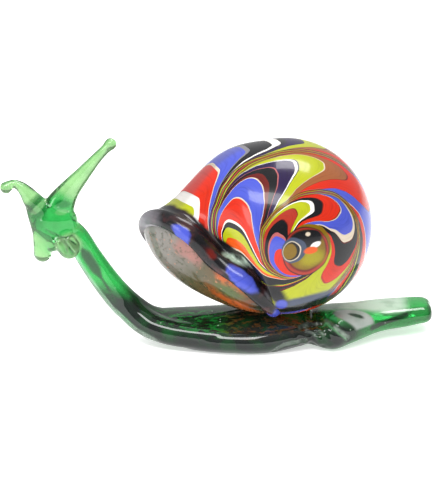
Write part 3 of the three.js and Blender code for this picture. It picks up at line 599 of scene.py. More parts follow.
class Nodes:
    """Builds a material's node tree with short calls."""

    def __init__(self, name):
        self.material = bpy.data.materials.new(name)
        self.material.use_nodes = True
        self.tree = self.material.node_tree

    def put(self, socket, value):
        if isinstance(value, Field):
            value = value.socket
        if isinstance(value, bpy.types.NodeSocket):
            self.tree.links.new(value, socket)
        elif socket.type == "RGBA":
            socket.default_value = (*value, 1)
        else:
            socket.default_value = value

    def node(self, kind, inputs, **settings):
        node = self.tree.nodes.new(kind)
        for key, value in settings.items():
            setattr(node, key, value)
        for key, value in inputs.items():
            self.put(node.inputs[key], value)
        return node

    def math(self, operation, *values):
        node = self.node("ShaderNodeMath", dict(enumerate(values)), operation=operation)
        return Field(self, node.outputs[0])

    def larger(self, a, b):
        return self.math("MAXIMUM", a, b)

    def hypot(self, a, b):
        return self.math("SQRT", a * a + b * b)

    def add(self, a, b):
        return self.node("ShaderNodeVectorMath", {0: a, 1: b}, operation="ADD").outputs["Vector"]

    def minus(self, a, b):
        return self.node("ShaderNodeVectorMath", {0: a, 1: tuple(b)}, operation="SUBTRACT").outputs["Vector"]

    def stretch(self, a, b):
        return self.node("ShaderNodeVectorMath", {0: a, 1: b}, operation="MULTIPLY").outputs["Vector"]

    def scale(self, a, times):
        return self.node("ShaderNodeVectorMath", {0: a, "Scale": times}, operation="SCALE").outputs["Vector"]

    def dot(self, a, way):
        node = self.node("ShaderNodeVectorMath", {0: a, 1: tuple(way)}, operation="DOT_PRODUCT")
        return Field(self, node.outputs["Value"])

    def place(self):
        """The place on the piece, in metres."""
        return self.node("ShaderNodeTexCoord", {}).outputs["Object"]

    def place_mm(self):
        return self.scale(self.place(), 1 / MM)

    def attribute(self, name):
        return self.node("ShaderNodeAttribute", {}, attribute_name=name).outputs

    def values(self, name):
        return Field(self, self.attribute(name)["Fac"])

    def clouds(self, where, scale, detail=3.0, rough=0.5):
        inputs = {"Vector": where, "Scale": scale, "Detail": detail, "Roughness": rough}
        return self.node("ShaderNodeTexNoise", inputs).outputs

    def noise(self, where, scale, detail=3.0, rough=0.5):
        return Field(self, self.clouds(where, scale, detail, rough)["Fac"])

    def sway(self, where, scale, detail=3.0, rough=0.5):
        """Noise that goes to both sides of 0."""
        return self.noise(where, scale, detail, rough) - 0.5

    def mix(self, share, a, b):
        return self.node("ShaderNodeMix", {0: share, 6: a, 7: b}, data_type="RGBA").outputs[2]

    def ramp(self, field, stops, kind="LINEAR"):
        node = self.node("ShaderNodeValToRGB", {0: field})
        node.color_ramp.interpolation = kind
        marks = node.color_ramp.elements
        while len(marks) < len(stops):
            marks.new(1.0)
        for mark, (at, colour) in zip(marks, stops):
            mark.position = at
            mark.color = (*colour, 1)
        return node.outputs[0]

    def fade(self, field, a, b, at_a=0.0, at_b=1.0):
        """Goes from one value where the field is a to another where it is b, without corners."""
        inputs = {0: field, 1: a, 2: b, 3: at_a, 4: at_b}
        node = self.node("ShaderNodeMapRange", inputs, interpolation_type="SMOOTHSTEP")
        return Field(self, node.outputs[0])

    def finish(self, inputs):
        for key, value in inputs.items():
            self.put(self.tree.nodes["Principled BSDF"].inputs[key], value)
        return self.material


def srgb(*colour):
    out = []
    for v in colour:
        v /= 255
        out.append(v / 12.92 if v <= 0.04045 else ((v + 0.055) / 1.055) ** 2.4)
    return tuple(out)


PALE = srgb(134, 182, 120)
EMERALD = srgb(44, 164, 74)
LEAF = srgb(18, 106, 38)
DEEP = srgb(8, 92, 34)
NIGHT = srgb(8, 18, 12)
ASH = srgb(27, 32, 30)
# Pale frosty green, also used for painted highlights
FROST_AND_HIGHLIGHT = srgb(184, 206, 186)
MIST = srgb(164, 172, 166)
EARTH = srgb(84, 54, 24)
RED = srgb(197, 40, 18)
BLUE = srgb(70, 82, 184)
LIME = srgb(168, 174, 24)
CHAR = srgb(20, 20, 23)
WHITE = srgb(232, 228, 222)
BROWN = srgb(96, 24, 18)
AMBER = srgb(146, 84, 46)
PURPLE = srgb(36, 22, 62)
GREY = srgb(120, 118, 124)
CREAM = srgb(206, 192, 170)
ROSE = srgb(170, 92, 92)
RUST = srgb(160, 48, 34)
OLIVE = srgb(120, 92, 8)
MOSS = srgb(150, 140, 16)
ORANGE = srgb(214, 84, 20)
SLATE = srgb(62, 72, 92)
SMOKE = srgb(74, 70, 76)
VEIL_PINK = srgb(150, 104, 96)
VEIL_ORANGE = srgb(196, 92, 38)
VEIL_BROWN = srgb(176, 84, 38)
VEIL_GREEN = srgb(78, 92, 48)
VEIL_DARK = srgb(58, 62, 44)
VEIL_SPARK = srgb(190, 120, 84)


class Skin:
    """Colour and clearness of the green glass at each point, laid on coat by coat."""

    def __init__(self, mesh):
        self.points, normals = surface(mesh)
        self.x, self.y, self.z = self.points.T
        self.front, self.near, self.up = normals.T * vec(-1, -1, 1)[:, None]
        self.tint = np.tile(vec(*PALE), (len(self.points), 1))
        self.clear = np.ones(len(self.points))

    def lay(self, share, colour, clear):
        self.tint = lerp(self.tint, vec(*colour), share[:, None])
        self.clear = lerp(self.clear, clear, share)


def soft_oval(a, b, half_a, half_b, edge, core):
    """Soft oval: 0 outside the edge, 1 inside the core, both as shares of the half sizes."""
    return smooth(edge, core, np.hypot(a / half_a, b / half_b))


HUB = HEAD + vec(0, 0, 2.2)
HUB_FLATTENING = vec(1, 0.4, 0.95)
# Middles of the painted shade at the stalks' roots and of the pale spots of painted light
FRONT_ROOT_SHADE_X = -92.5
FRONT_ROOT_SHADE_Z = 54
REAR_ROOT_SHADE_X = -83.1
REAR_ROOT_SHADE_Z = 59.1
FRONT_LENS_LIGHT_X = -92.1
FRONT_LENS_LIGHT_Z = 57.5
REAR_LENS_LIGHT_X = -83.5
REAR_LENS_LIGHT_Z = 56


def paint_head(skin):
    """Green hub, painted shade at the roots of the stalks, and two pale spots of painted light on the near
    side.
    """
    x, z = skin.x, skin.z
    near = smooth(0, 0.3, skin.near)
    hub = np.linalg.norm((skin.points - HUB) * HUB_FLATTENING, axis=1)
    skin.lay(smooth(10.5, 7, hub), EMERALD, clear=0.75)
    # Painted shade at the front stalk's root
    skin.lay(0.5 * soft_oval(x - FRONT_ROOT_SHADE_X, z - FRONT_ROOT_SHADE_Z, 3.5, 5, 1.3, 0.6), DEEP, clear=0.6)
    # The front spot of painted light lies on a slant, in a ring of painted shade
    across = (x - FRONT_LENS_LIGHT_X - (z - FRONT_LENS_LIGHT_Z)) / math.sqrt(2)
    along = (x - FRONT_LENS_LIGHT_X + (z - FRONT_LENS_LIGHT_Z)) / math.sqrt(2)
    skin.lay(0.8 * soft_oval(across, along, 3.0, 5.5, 1.15, 0.85), DEEP, clear=0.85)
    # Painted shade at the rear stalk's root, then the pale spots of painted light
    skin.lay(near * soft_oval(x - REAR_ROOT_SHADE_X, z - REAR_ROOT_SHADE_Z, 3.0, 1.7, 1.2, 0.7), DEEP, clear=0.9)
    skin.lay(near * soft_oval(across, along, 1.2, 4.2, 1.2, 0.8), PALE, clear=0.6)
    skin.lay(0.8 * near * soft_oval(x - REAR_LENS_LIGHT_X, z - REAR_LENS_LIGHT_Z, 2.3, 1.1, 1.2, 0.8), PALE, clear=0.6)


REAR_LOBE_MIDDLE = vec(-80.6, -11.5, 42.5)
NECK_END = -46


def paint_neck(skin):
    """Clear green neck with painted shade along its back edge and the stalks' edges, and the pale rear lobe.
    """
    x, z, front, up = skin.x, skin.z, skin.front, skin.up
    below_head = smooth(45, 40, z) * smooth(-95, -82, x + (z - 40))
    behind_head = smooth(53, 47, z) * smooth(-83, -78, x)
    neck = np.where(x < NECK_END, np.maximum(below_head, behind_head), 1)
    skin.lay(neck, EMERALD, clear=0.9)
    # Painted shade along the top of the front stalk, the edge of the rear stalk and the neck's back edge
    skin.lay(0.7 * smooth(0.6, 0.8, up) * smooth(-91, -94, x), DEEP, clear=0.8)
    rear_stalk = smooth(-89, -86, x) * smooth(57, 61, z)
    skin.lay(0.7 * smooth(0.6, 0.8, 0.75 * front + 0.65 * up) * rear_stalk, DEEP, clear=0.8)
    back_edge_shade = smooth(0.65, 0.85, 0.65 * up - 0.75 * front) * smooth(-50, -54, x)
    skin.lay(0.7 * back_edge_shade * neck, DEEP, clear=0.7)
    rear_lobe = np.linalg.norm(skin.points - REAR_LOBE_MIDDLE, axis=1)
    skin.lay(smooth(6.2, 4.6, rear_lobe) * smooth(-0.2, 0.3, skin.near), PALE, clear=0.5)


STREAK_TOP = (-76.8, -8.8, 42)
STREAK_END = (-66, -6.8, 23.2)


def paint_core(skin):
    """Smoky core of the neck: a long streak, the dark bend and a frosty front edge."""
    x, z, front, near, up = skin.x, skin.z, skin.front, skin.near, skin.up
    far, share = from_line(skin.points, STREAK_TOP, STREAK_END)
    width = 0.5 + 1.7 * smooth(0, 0.2, share) * smooth(0.75, 0.48, share)
    skin.lay(0.9 * smooth(1.3, 0.5, far / width) * smooth(0.1, 0.4, near), ASH, clear=0.2)
    core = np.where(x < NECK_END, smooth(31, 20, z + 4 * np.clip(up - front, 0, 1)), 1)
    before_foot = smooth(-44, -50, x)
    skin.lay(core * smooth(0.75, 0.4, front) * smooth(0.05, 0.35, near), ASH, clear=0.08)
    skin.lay(core * before_foot * smooth(0.1, 0.4, -front) * smooth(0.6, 0.25, near), DEEP, clear=0.4)
    skin.lay(core * before_foot * smooth(-66, -58, x) * smooth(0.35, 0.7, up), NIGHT, clear=0.06)
    front_edge = smooth(0.45, 0.65, 0.83 * front - 0.56 * up)
    skin.lay(front_edge * smooth(-44, -52, x) * smooth(44, 38, z), FROST_AND_HIGHLIGHT, clear=0.8)


FOOT_END = (17, 13)


def foot_share(skin):
    return smooth(-53, -45, skin.x) * smooth(*FOOT_END, skin.x)


def paint_foot(skin):
    """Nearly black foot, with a green far side, a frosty far edge and two green patches."""
    x, y, z, near, up = skin.x, skin.y, skin.z, skin.near, skin.up
    foot = foot_share(skin)
    skin.lay(smooth(-60, -50, x) * smooth(*FOOT_END, x) * smooth(0.3, 0.6, up), NIGHT, clear=0.04)
    skin.lay(foot * smooth(0.3, 0.65, near), ASH, clear=0.04)
    skin.lay(foot * smooth(0.2, 0.7, -near), DEEP, clear=0.3)
    skin.lay(foot * smooth(4, 8, y) * smooth(0.2, 0.5, up), FROST_AND_HIGHLIGHT, clear=0.5)
    skin.lay(0.8 * bell(x, -43.5, 2.2) * bell(y, -10.5, 3) * bell(z, 7.5, 2.6), DEEP, clear=0.2)
    before_crimp = smooth(-3, 3, x) * smooth(19, 15, x)
    skin.lay(before_crimp * bell(y, -6.5, 3.4) * smooth(0.4, 0.8, up), DEEP, clear=0.1)


PRESSED_X = 27
PRESSED_Y = -4.8
PRESSED_CORE_X = 27.6
PRESSED_CORE_Y = -4.2


def paint_tail(skin):
    """Green tail with a smoky near side, a frosty top and a grey pressed mark with a dark core."""
    x, y, near, up = skin.x, skin.y, skin.near, skin.up
    tail = smooth(12, 17, x)
    near_side = tail * smooth(0.3, 0.8, near)
    skin.lay(tail * smooth(0.9, 0.3, near), EMERALD, clear=0.5)
    skin.lay(near_side * smooth(30, 20, x), ASH, clear=0.1)
    skin.lay(near_side * smooth(26, 36, x), EMERALD, clear=0.6)
    far_top = smooth(0.6, 0.92, up) * smooth(-3.5, 0.5, y - 0.12 * (x - 20))
    skin.lay(tail * far_top * smooth(52, 44, x), FROST_AND_HIGHLIGHT, clear=0.12)
    pressed = soft_oval(x - PRESSED_X, y - PRESSED_Y, 8, 4, 1.15, 0.9)
    skin.lay(tail * smooth(0.1, 0.3, up) * pressed, MIST, clear=0.05)
    pressed_core = soft_oval(x - PRESSED_CORE_X, y - PRESSED_CORE_Y, 3, 1, 1.3, 0.7)
    skin.lay(tail * smooth(0, 0.3, up) * pressed_core, NIGHT, clear=0.05)


def paint_creases(skin):
    """Dark crimp with painted highlights along its creases, and painted shade in the creases of the folded
    lobe.
    """
    skin.lay(bell(skin.x, CRIMP_X, CRIMP_REACH) * smooth(0, 0.4, skin.near), NIGHT, clear=0.05)
    # Painted highlights along the crimp's creases
    for path, _, width in CRIMP_CREASES:
        skin.lay(0.85 * bell(from_path(skin.points, path), 0, 0.8 * width), FROST_AND_HIGHLIGHT, clear=0.02)
    # Painted shade in the folded lobe's creases
    for path, _, width in HEAD_CREASES:
        skin.lay(0.9 * bell(from_path(skin.points, path), 0, 0.7 * width), DEEP, clear=0.5)


TAIL_STREAK_START = (34, -4.0, 7)
TAIL_STREAK_END = (50, 3.0, 10.6)


def paint_tip(skin):
    """Dark streak along the tail, then its clear green end."""
    far, _ = from_line(skin.points, TAIL_STREAK_START, TAIL_STREAK_END)
    skin.lay(smooth(1.9, 0.7, far), NIGHT, clear=0.1)
    skin.lay(smooth(47, 51, skin.x), EMERALD, clear=0.7)
    skin.lay(smooth(55, 56.6, skin.x), DEEP, clear=0.5)


def paint_green(mesh):
    skin = Skin(mesh)
    paint_head(skin)
    paint_neck(skin)
    paint_core(skin)
    paint_foot(skin)
    paint_tail(skin)
    paint_creases(skin)
    paint_tip(skin)
    tint = np.c_[skin.tint, np.ones(len(skin.tint))].ravel()
    mesh.attributes.new("tint", "FLOAT_COLOR", "POINT").data.foreach_set("color", tint)
    add_values(mesh, "clear", skin.clear)
    flecks = foot_share(skin) * smooth(0.4, 0.8, skin.up) * smooth(8, 4, skin.y)
    add_values(mesh, "green_flecks", flecks * smooth(-16, -24, skin.x))
    add_values(mesh, "brown_flecks", flecks * smooth(-26, -18, skin.x))


FLECK_STRETCH = (0.35, 1.0, 1.0)
FLECK_SCALE = 0.75
CLOUD_SCALE = 0.16
BUBBLE_SCALE = 0.21


def green_glass():
    """Clear to smoky green glass with soft clouds, flecks on top of the foot and a few bubbles."""
    m = Nodes("green_glass")
    place = m.place_mm()
    fleck = m.noise(m.stretch(place, FLECK_STRETCH), FLECK_SCALE, 4.0, 0.65)
    colour = m.attribute("tint")["Color"]
    colour = m.mix(m.fade(m.noise(place, CLOUD_SCALE), 0.42, 0.7, 0.0, 0.3), colour, DEEP)
    colour = m.mix(m.fade(fleck, 0.48, 0.6) * m.values("green_flecks"), colour, LEAF)
    colour = m.mix(m.fade(fleck, 0.5, 0.62) * m.values("brown_flecks"), colour, EARTH)
    bubble = m.node("ShaderNodeTexVoronoi", {"Vector": place, "Scale": BUBBLE_SCALE}).outputs["Distance"]
    colour = m.mix(m.fade(bubble, 0.05, 0.08, 0.5, 0.0), colour, FROST_AND_HIGHLIGHT)
    return m.finish({
        "Base Color": colour,
        "Transmission Weight": m.values("clear"),
        "Roughness": 0.04,
        "IOR": 1.5,
    })


def add_spots(m, colour, across, up, marks):
    """Soft ovals: middle, half sizes, turn in degrees, softness and colour."""
    for x, y, wide, high, tilt, soft, tint in marks:
        cosine = math.cos(rad(tilt))
        sine = math.sin(rad(tilt))
        dx = across - x
        dy = up - y
        along = (dx * cosine + dy * sine) / wide
        over = (dy * cosine - dx * sine) / high
        colour = m.mix(m.fade(m.hypot(along, over), 1 - soft, 1 + soft, 1.0, 0.0), colour, tint)
    return colour


# The canes in their order along the spiral: where each starts, in degrees, and its colour
CANES = [
    (-440, OLIVE), (-404, CHAR), (-398, RED), (-355, CREAM), (-354, BLUE), (-335, ROSE), (-329, CHAR),
    (-309, BROWN), (-307.5, RUST), (-288, BROWN), (-286, LIME), (-269, CHAR), (-268, WHITE), (-263, CHAR),
    (-251, BROWN), (-249, RED), (-225, BROWN), (-223, CREAM), (-222, BLUE), (-195, CREAM), (-184, BROWN),
    (-182.5, CHAR), (-148, BROWN), (-146, RED), (-115, RUST), (-112, LIME), (-58, BROWN), (-54, CHAR),
    (-44, RUST), (-40, LIME), (-37, CHAR), (-7, CREAM), (-5, ORANGE), (4, LIME), (14, CHAR), (18, WHITE),
    (20, RED), (37.3, CREAM), (38.5, BLUE), (57, CREAM), (58, BROWN), (63, CHAR), (72, ROSE), (73, PURPLE),
    (87, WHITE), (89, CHAR), (90, LIME), (111, CREAM), (112, AMBER), (131, BROWN), (132.5, RED), (164, BROWN),
    (166, BLUE), (204, CREAM), (207, RED), (228, BROWN), (231, CHAR), (252, LIME), (258, BROWN), (262, CHAR),
    (268, RED), (290, WHITE), (292, BLUE), (318, BROWN), (322, LIME), (330, RUST), (336, CHAR), (366, BROWN),
    (369, LIME), (377, WHITE), (383, RED), (402.8, CREAM), (404, BLUE), (423, GREY), (426, CHAR),
    (440, WHITE), (446, CHAR), (450, PURPLE), (462, LIME), (478, BROWN), (480, RED),
]
REPEAT_FROM = 120
REPEAT_TO = 480
RAMP_STOPS = 28
# How the comb bends the canes: degrees along the spiral, the place across the whorl that leads, and the drag
# in hundreds of degrees towards the inner and the outer line
COMB = [
    (-400, 0.35, 0.50, 0.90), (-330, 0.40, 0.55, 0.80), (-280, 0.50, 0.60, 0.60), (-210, 0.65, 0.85, 0.60),
    (-150, 0.55, 0.80, 0.80), (-112, 0.48, 0.80, 0.80), (-60, 0.50, 0.65, 0.72), (10, 0.60, 0.45, 0.62),
    (40, 0.60, 0.45, 0.70), (110, 0.66, 0.70, 0.80), (165, 0.70, 0.85, 0.80), (215, 0.60, 0.80, 0.75),
    (330, 0.40, 0.60, 0.60), (390, 0.26, 0.50, 0.60), (470, 0.30, 0.50, 0.60),
]
INNER_DRAG_POWER = 2.2
OUTER_DRAG_POWER = 4.0
# Thin stripes where the comb drew the canes together: place across the bundle and colour
BUNDLE = [
    (0.0, CHAR), (0.28, BROWN), (0.34, LIME), (0.38, CHAR), (0.44, RUST), (0.50, CHAR), (0.55, LIME),
    (0.59, BROWN), (0.66, CHAR), (0.72, CREAM), (0.735, CHAR),
]
# Bundles to a whorl, and how far their lines waver, in whorls
BUNDLE_SCALE = 4.0
BUNDLE_WAVER = 0.06
# Marks round the axis, in millimetres: first the plain far end, then the near side with its coil, a painted
# glint and painted shade along the ball's underside
FAR_END = [
    (0, 0, 5.6, 5.6, 0, 0.05, RUST), (0, 0, 5.0, 5.0, 0, 0.1, CHAR), (0.3, 0.3, 3.9, 3.7, 0, 0.1, OLIVE),
    (0.5, 0.5, 2.5, 2.3, 0, 0.15, CHAR), (0.6, 0.6, 1.2, 1.1, 0, 0.3, RUST),
]
COIL = [
    # The first two marks are painted shade along the ball's underside: a slate band over a near-black green
    # one
    (0.8, -22.4, 12.0, 2.6, 10, 0.4, SLATE), (3.0, -25.6, 14.0, 2.2, 12, 0.3, NIGHT),
    (-11.0, -18.4, 7.0, 2.4, -50, 0.45, CHAR), (-7.6, -23.6, 2.6, 1.8, -50, 0.3, BLUE),
    (-1.5, -0.6, 8.8, 9.6, 0, 0.03, CHAR), (-1.4, -0.6, 8.5, 9.2, 0, 0.03, RUST),
    (-1.3, -0.3, 7.6, 8.4, 0, 0.06, BROWN), (-1.3, 0.0, 7.0, 7.8, 0, 0.06, OLIVE),
    (0.9, -3.4, 4.4, 3.0, 10, 0.6, MOSS), (-1.6, 4.4, 6.0, 3.6, 6, 0.15, CHAR),
    (0.8, 5.0, 3.2, 2.7, 0, 0.06, CHAR), (-6.2, 0.3, 4.4, 5.0, -14, 0.05, SLATE),
    (-6.9, 0.0, 3.3, 3.9, -14, 0.06, CREAM), (-7.0, 0.0, 3.0, 3.6, -14, 0.06, CHAR),
    # The small cream mark at (-0.9, 6.2) is a painted glint on the black spot
    (-7.5, -0.1, 2.4, 3.0, -14, 0.12, OLIVE), (-0.9, 6.2, 0.9, 0.8, 0, 0.35, CREAM),
    (1.7, 1.7, 2.2, 1.0, 24, 0.2, WHITE), (-0.1, -0.3, 2.5, 1.4, 6, 0.2, ORANGE),
]
# Marks on the lip: degrees round the rim and millimetres out of the mouth's plane. The frost-white mark at 71
# degrees is a painted highlight on the lip's roll.
LIP_MARKS = [
    (136, 1.6, 9, 2.4, 0, 0.2, BLUE), (53, 2.4, 17, 2.5, -4, 0.2, BLUE), (6, 0.5, 9, 4.0, 0, 0.2, BLUE),
    (24, 0.5, 8, 1.2, 0, 0.4, GREY), (71, -2.4, 12, 1.1, 0, 0.6, FROST_AND_HIGHLIGHT), (176, 0.5, 15, 4.5, 0, 0.6, GREY),
    (-184, 0.5, 15, 4.5, 0, 0.6, GREY), (98, 1.0, 9, 1.5, 0, 0.5, BROWN),
]
SPIRAL_AXIS = facing(16.6, 2.2)
SPIRAL_TOP = unit(UP - SPIRAL_AXIS * UP.dot(SPIRAL_AXIS))
SPIRAL_RIGHT = np.cross(SPIRAL_TOP, SPIRAL_AXIS)
SHAKE = 2.4
SHAKE_SCALE = 75.0
TINY = 1e-4
# Start and pace of the whorls of the uneven spiral: change to the left, change to the top, and mean
WHORL_START = (-0.141, -0.173, 1.449)
WHORL_PACE = (0.015, -0.224, 1.041)
# Oval bend of the whorls and their widening further out, in whorls
BEND_MIDDLE = 0.35
BEND_HALF = 0.75
BEND_DEPTH = -0.13
BEND_TURN = rad(200)
WIDENING = 0.07


class Spiral:
    """Where a point of the shell lies on the combed spiral."""

    def __init__(self, m):
        shaken = m.minus(m.clouds(m.place(), SHAKE_SCALE, 2.0)["Color"], (0.5, 0.5, 0.5))
        where = m.add(m.minus(m.place_mm(), SHELL + SHIFT), m.scale(shaken, SHAKE))
        self.right = m.dot(where, SPIRAL_RIGHT)
        self.top = m.dot(where, SPIRAL_TOP)
        self.on_axis = m.dot(where, SPIRAL_AXIS) / DEPTH_SHARE
        self.off_axis = m.larger(m.hypot(self.right, self.top), TINY)
        clock = m.math("ARCTAN2", self.top, self.right * -1.0)
        grown = self.grown(m, clock)
        clock = clock * math.degrees(1)
        self.turns = grown - clock / 360.0
        whole = m.math("FLOOR", self.turns)
        self.across = self.turns - whole
        self.along = clock + whole * 360.0
        self.way = self.combed(m)

    def uneven(self, to_left, to_top, mean):
        """A size that changes round the axis."""
        left = self.right / (self.off_axis * -1.0)
        over = self.top / self.off_axis
        return left * to_left + (over * to_top + mean)

    def grown(self, m, clock):
        """Whorls out from the middle."""
        whole_reach = m.hypot(self.on_axis, self.off_axis)
        spread = m.math("LOGARITHM", self.off_axis / m.larger(whole_reach + self.on_axis, TINY), math.e)
        grown = (spread + self.uneven(*WHORL_START)) / self.uneven(*WHORL_PACE)
        from_middle = (grown - BEND_MIDDLE) / BEND_HALF
        bend = m.larger(1.0 - from_middle * from_middle, 0.0) * BEND_DEPTH
        bend = bend * m.math("SINE", clock * 2.0 - BEND_TURN)
        return grown + bend + m.fade(grown, 0.6, 1.1, 0.0, WIDENING)

    def combed(self, m):
        """Degrees along the spiral after the comb has dragged the canes back at each line."""
        first = COMB[0][0]
        span = COMB[-1][0] - first
        stops = [((row[0] - first) / span, row[1:]) for row in COMB]
        comb = m.ramp((self.along - first) / span, stops)
        parts = m.node("ShaderNodeSeparateColor", {"Color": comb}).outputs
        lead, inner, outer = (Field(m, part) for part in parts)
        low = m.larger((lead - self.across) / lead, 0.0)
        high = m.larger((self.across - lead) / (1.0 - lead), 0.0)
        drag = inner * m.math("POWER", low, INNER_DRAG_POWER)
        drag = drag + outer * m.math("POWER", high, OUTER_DRAG_POWER)
        way = self.along + drag * 100.0
        repeat = REPEAT_TO - REPEAT_FROM
        again = m.larger(m.math("FLOOR", (way - REPEAT_FROM) / repeat), 0.0)
        return way - again * repeat


def cane_colours(m, way):
    """The canes in as many ramps as their number needs."""
    colour = None
    for start in range(0, len(CANES), RAMP_STOPS):
        part = CANES[start:start + RAMP_STOPS]
        begin = part[0][0]
        span = part[-1][0] + 1 - begin
        stops = [((at - begin) / span, tint) for at, tint in part]
        band = m.ramp((way - begin) / span, stops, "CONSTANT")
        colour = band if colour is None else m.mix(m.math("GREATER_THAN", way, begin), colour, band)
    return colour


def add_bundles(m, colour, spiral):
    """Thin stripes along the lines of the spiral, away from its middle."""
    near_line = m.math("FRACT", spiral.turns + 0.5) - 0.5
    waver = m.sway(m.place(), 60.0, 2.0) * BUNDLE_WAVER
    stripes = m.ramp((near_line + waver) * BUNDLE_SCALE + 0.5, BUNDLE, "CONSTANT")
    in_line = m.fade(m.math("ABSOLUTE", near_line), 0.04, 0.075, 1.0, 0.0)
    return m.mix(in_line * m.fade(spiral.off_axis, 11.0, 15.0, 0.0, 0.9), colour, stripes)


def add_smoke(m, colour, spiral, to_lip):
    """Smoky glass on the throat beyond the last wedges."""
    smoke = m.fade(spiral.turns, 1.3, 1.4) * m.fade(spiral.turns, 1.62, 1.7, 1.0, 0.0)
    return m.mix(smoke * m.fade(to_lip, 0.05, 0.3, 0.0, 0.4), colour, SMOKE)


def add_ends(m, colour, spiral):
    """The coil in the middle of the near side with its painted glint, painted shade along the ball's
    underside, and the plain end on the far side.
    """
    far_end = add_spots(m, colour, spiral.right, spiral.top, FAR_END)
    coil = add_spots(m, colour, spiral.right, spiral.top, COIL)
    return m.mix(m.fade(spiral.on_axis, -1.0, 1.0), far_end, coil)


def add_lip(m, colour, to_lip):
    """Dark lip with blue and grey marks, a painted highlight on its roll, and an uneven edge on the throat.
    """
    place = m.minus(m.place_mm(), MOUTH + SHIFT)
    rim = m.math("ARCTAN2", m.dot(place, SHORT), m.dot(place, LONG)) * math.degrees(1)
    rough = m.sway(m.place(), 160.0)
    rim_place = rim + rough * 14.0
    rim_height = m.dot(place, OUT) + rough * 3.0
    skin = m.mix(m.fade(m.noise(m.place(), 130.0), 0.42, 0.7, 0.0, 0.22), CHAR, ROSE)
    skin = m.mix(m.fade(rim_height, -1.0, -4.0, 0.0, 0.75), skin, CHAR)
    skin = add_spots(m, skin, rim_place, rim_height, LIP_MARKS)
    edge = to_lip + rough * 0.12
    edge = edge - m.fade(rim, 55.0, 125.0, 0.52, 0.84)
    edge = edge - m.fade(rim, -180.0, -100.0, 0.32, 0.0)
    return m.mix(m.fade(edge, -0.04, 0.04), colour, skin)


def add_streaks(m, colour, spiral):
    """Faint dark streaks along the canes."""
    where = m.node("ShaderNodeCombineXYZ", {0: spiral.way * 0.5, 1: spiral.turns * 2.2}).outputs[0]
    return m.mix(m.fade(m.noise(where, 1.0, 3.0, 0.6), 0.45, 0.8, 0.0, 0.3), colour, CHAR)


def spiral_glass():
    """Canes combed along one spiral, with the coil, the smoky throat, the dark lip, and a painted glint,
    highlight and shade.
    """
    m = Nodes("spiral_glass")
    spiral = Spiral(m)
    to_lip = m.values("to_lip")
    colour = cane_colours(m, spiral.way)
    colour = add_bundles(m, colour, spiral)
    colour = add_smoke(m, colour, spiral, to_lip)
    colour = add_ends(m, colour, spiral)
    colour = add_lip(m, colour, to_lip)
    colour = add_streaks(m, colour, spiral)
    return m.finish({
        "Base Color": colour,
        "Roughness": 0.22,
        "IOR": 1.45,
        "Specular IOR Level": 0.25,
        "Coat Weight": 0.28,
        "Coat Roughness": 0.03,
    })


# The mouth's face along its length, and marks on it in millimetres from its middle
VEIL_HALF_LONG = 34.0
# The grey stops at the upper end are painted reflection of the pale floor; the later stops are the glass's
# own colour
VEIL = [
    (0.0, srgb(126, 124, 122)), (0.3, srgb(120, 115, 108)), (0.46, srgb(86, 82, 60)),
    (0.66, srgb(104, 70, 38)), (0.78, srgb(112, 56, 26)), (0.86, srgb(30, 44, 26)), (1.0, srgb(18, 30, 22)),
]
VEIL_MARKS = [
    (-9.5, 9.5, 6.0, 3.2, -20, 0.5, VEIL_PINK), (8.5, 11.0, 7.0, 3.6, -6, 0.5, VEIL_ORANGE),
    (14.0, 0.5, 9.0, 2.6, -8, 0.6, VEIL_BROWN), (11.0, 7.0, 6.5, 3.0, 10, 0.6, VEIL_GREEN),
]


def veiled_glass():
    """The mouth's face: orange, brown and green glass that thicken towards the lower end, with a grey painted
    reflection of the pale floor towards the upper end.
    """
    m = Nodes("veiled_glass")
    place = m.minus(m.place_mm(), MOUTH + SHIFT)
    along = m.dot(place, LONG)
    over = m.dot(place, SHORT)
    cloud = m.sway(m.place(), 90.0, 4.0, 0.6)
    colour = m.ramp((along + cloud * 14.0 + VEIL_HALF_LONG) / (2 * VEIL_HALF_LONG), VEIL)
    colour = add_spots(m, colour, along + cloud * 8.0, over + cloud * 8.0, VEIL_MARKS)
    fleck = m.noise(m.place(), 420.0, 4.0, 0.65)
    colour = m.mix(m.fade(fleck, 0.5, 0.66, 0.0, 0.65), colour, VEIL_DARK)
    spark = m.noise(m.place(), 700.0, 2.0)
    colour = m.mix(m.fade(spark, 0.64, 0.72, 0.0, 0.5), colour, VEIL_SPARK)
    return m.finish({
        "Base Color": colour,
        "Roughness": 0.12,
        "IOR": 1.4,
        "Coat Weight": 0.15,
        "Coat Roughness": 0.05,
    })


paint_green(body.data)
body.data.materials.append(green_glass())
shell.data.materials.append(spiral_glass())
mouth.data.materials.append(veiled_glass())


# Floor, light and camera, in metres
def pale_floor():
    return Nodes("pale_floor").finish({
        "Base Color": (0.9, 0.9, 0.9),
        "Roughness": 0.8,
        "Emission Color": (1, 1, 1),
        "Emission Strength": 0.55,
    })


FLOOR_SIZE = 6
bpy.ops.mesh.primitive_plane_add(size=FLOOR_SIZE)
floor = bpy.context.object
floor.name = "floor"
floor.data.materials.append(pale_floor())

BRIGHTEST_WAY = (-0.1, 0.45, 0.89)
SKY_SPAN = (-0.3, 0.8)
SKY_STRENGTH = (0.18, 0.75)


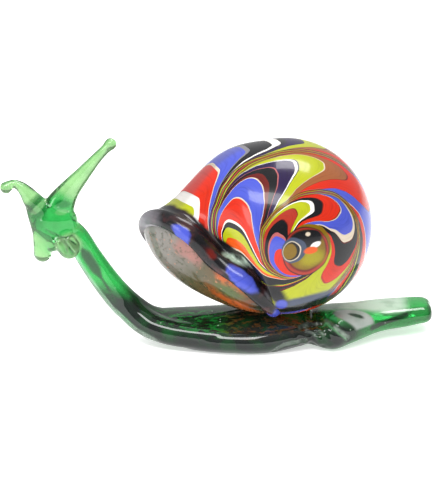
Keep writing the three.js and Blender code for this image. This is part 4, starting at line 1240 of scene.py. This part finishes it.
def studio_world():
    """White room that brightens from below to above and behind."""
    world = bpy.data.worlds.new("studio")
    world.use_nodes = True
    tree = world.node_tree
    upward = tree.nodes.new("ShaderNodeVectorMath")
    upward.operation = "DOT_PRODUCT"
    upward.inputs[1].default_value = BRIGHTEST_WAY
    shade = tree.nodes.new("ShaderNodeMapRange")
    for socket, value in zip(shade.inputs[1:5], SKY_SPAN + SKY_STRENGTH):
        socket.default_value = value
    background = tree.nodes["Background"]
    background.inputs["Color"].default_value = (1, 1, 1, 1)
    tree.links.new(tree.nodes.new("ShaderNodeTexCoord").outputs["Generated"], upward.inputs[0])
    tree.links.new(upward.outputs["Value"], shade.inputs[0])
    tree.links.new(shade.outputs[0], background.inputs["Strength"])
    return world


scene.world = studio_world()


def softbox(name, where, size, power, target=(0, 0, 0.035)):
    light = bpy.data.lights.new(name, "AREA")
    light.shape = "RECTANGLE"
    light.size, light.size_y = size
    light.energy = power
    lamp = bpy.data.objects.new(name, light)
    lamp.location = where
    lamp.rotation_euler = (Vector(target) - Vector(where)).to_track_quat("-Z", "Y").to_euler()
    scene.collection.objects.link(lamp)


softbox("top", where=(0.2, 0.2, 0.95), size=(0.55, 0.3), power=6, target=(0.2, 0.2, 0))
softbox("side", where=(-0.95, -0.7, 0.24), size=(0.3, 0.5), power=3)
softbox("front", where=(-0.2, -0.6, 0.8), size=(0.75, 0.26), power=7)

# The photo's view: lens and sensor in millimetres, and the camera's lift over the table in degrees
LENS = 180.0
SENSOR_WIDTH = 36
CAMERA_LIFT = 20.0
CAMERA_REACH = 5.225 * LENS * MM
AIM = Vector((-0.00038, 0, 0.03786))


def photo_camera():
    camera = bpy.data.cameras.new("camera")
    camera.lens = LENS
    camera.sensor_width = SENSOR_WIDTH
    camera.clip_start = 0.01
    eye = bpy.data.objects.new("camera", camera)
    eye.location = AIM + Vector(facing(0, CAMERA_LIFT)) * CAMERA_REACH
    eye.rotation_euler = (AIM - eye.location).to_track_quat("-Z", "Y").to_euler()
    scene.collection.objects.link(eye)
    return eye


scene.camera = photo_camera()
scene.view_settings.view_transform = "Standard"
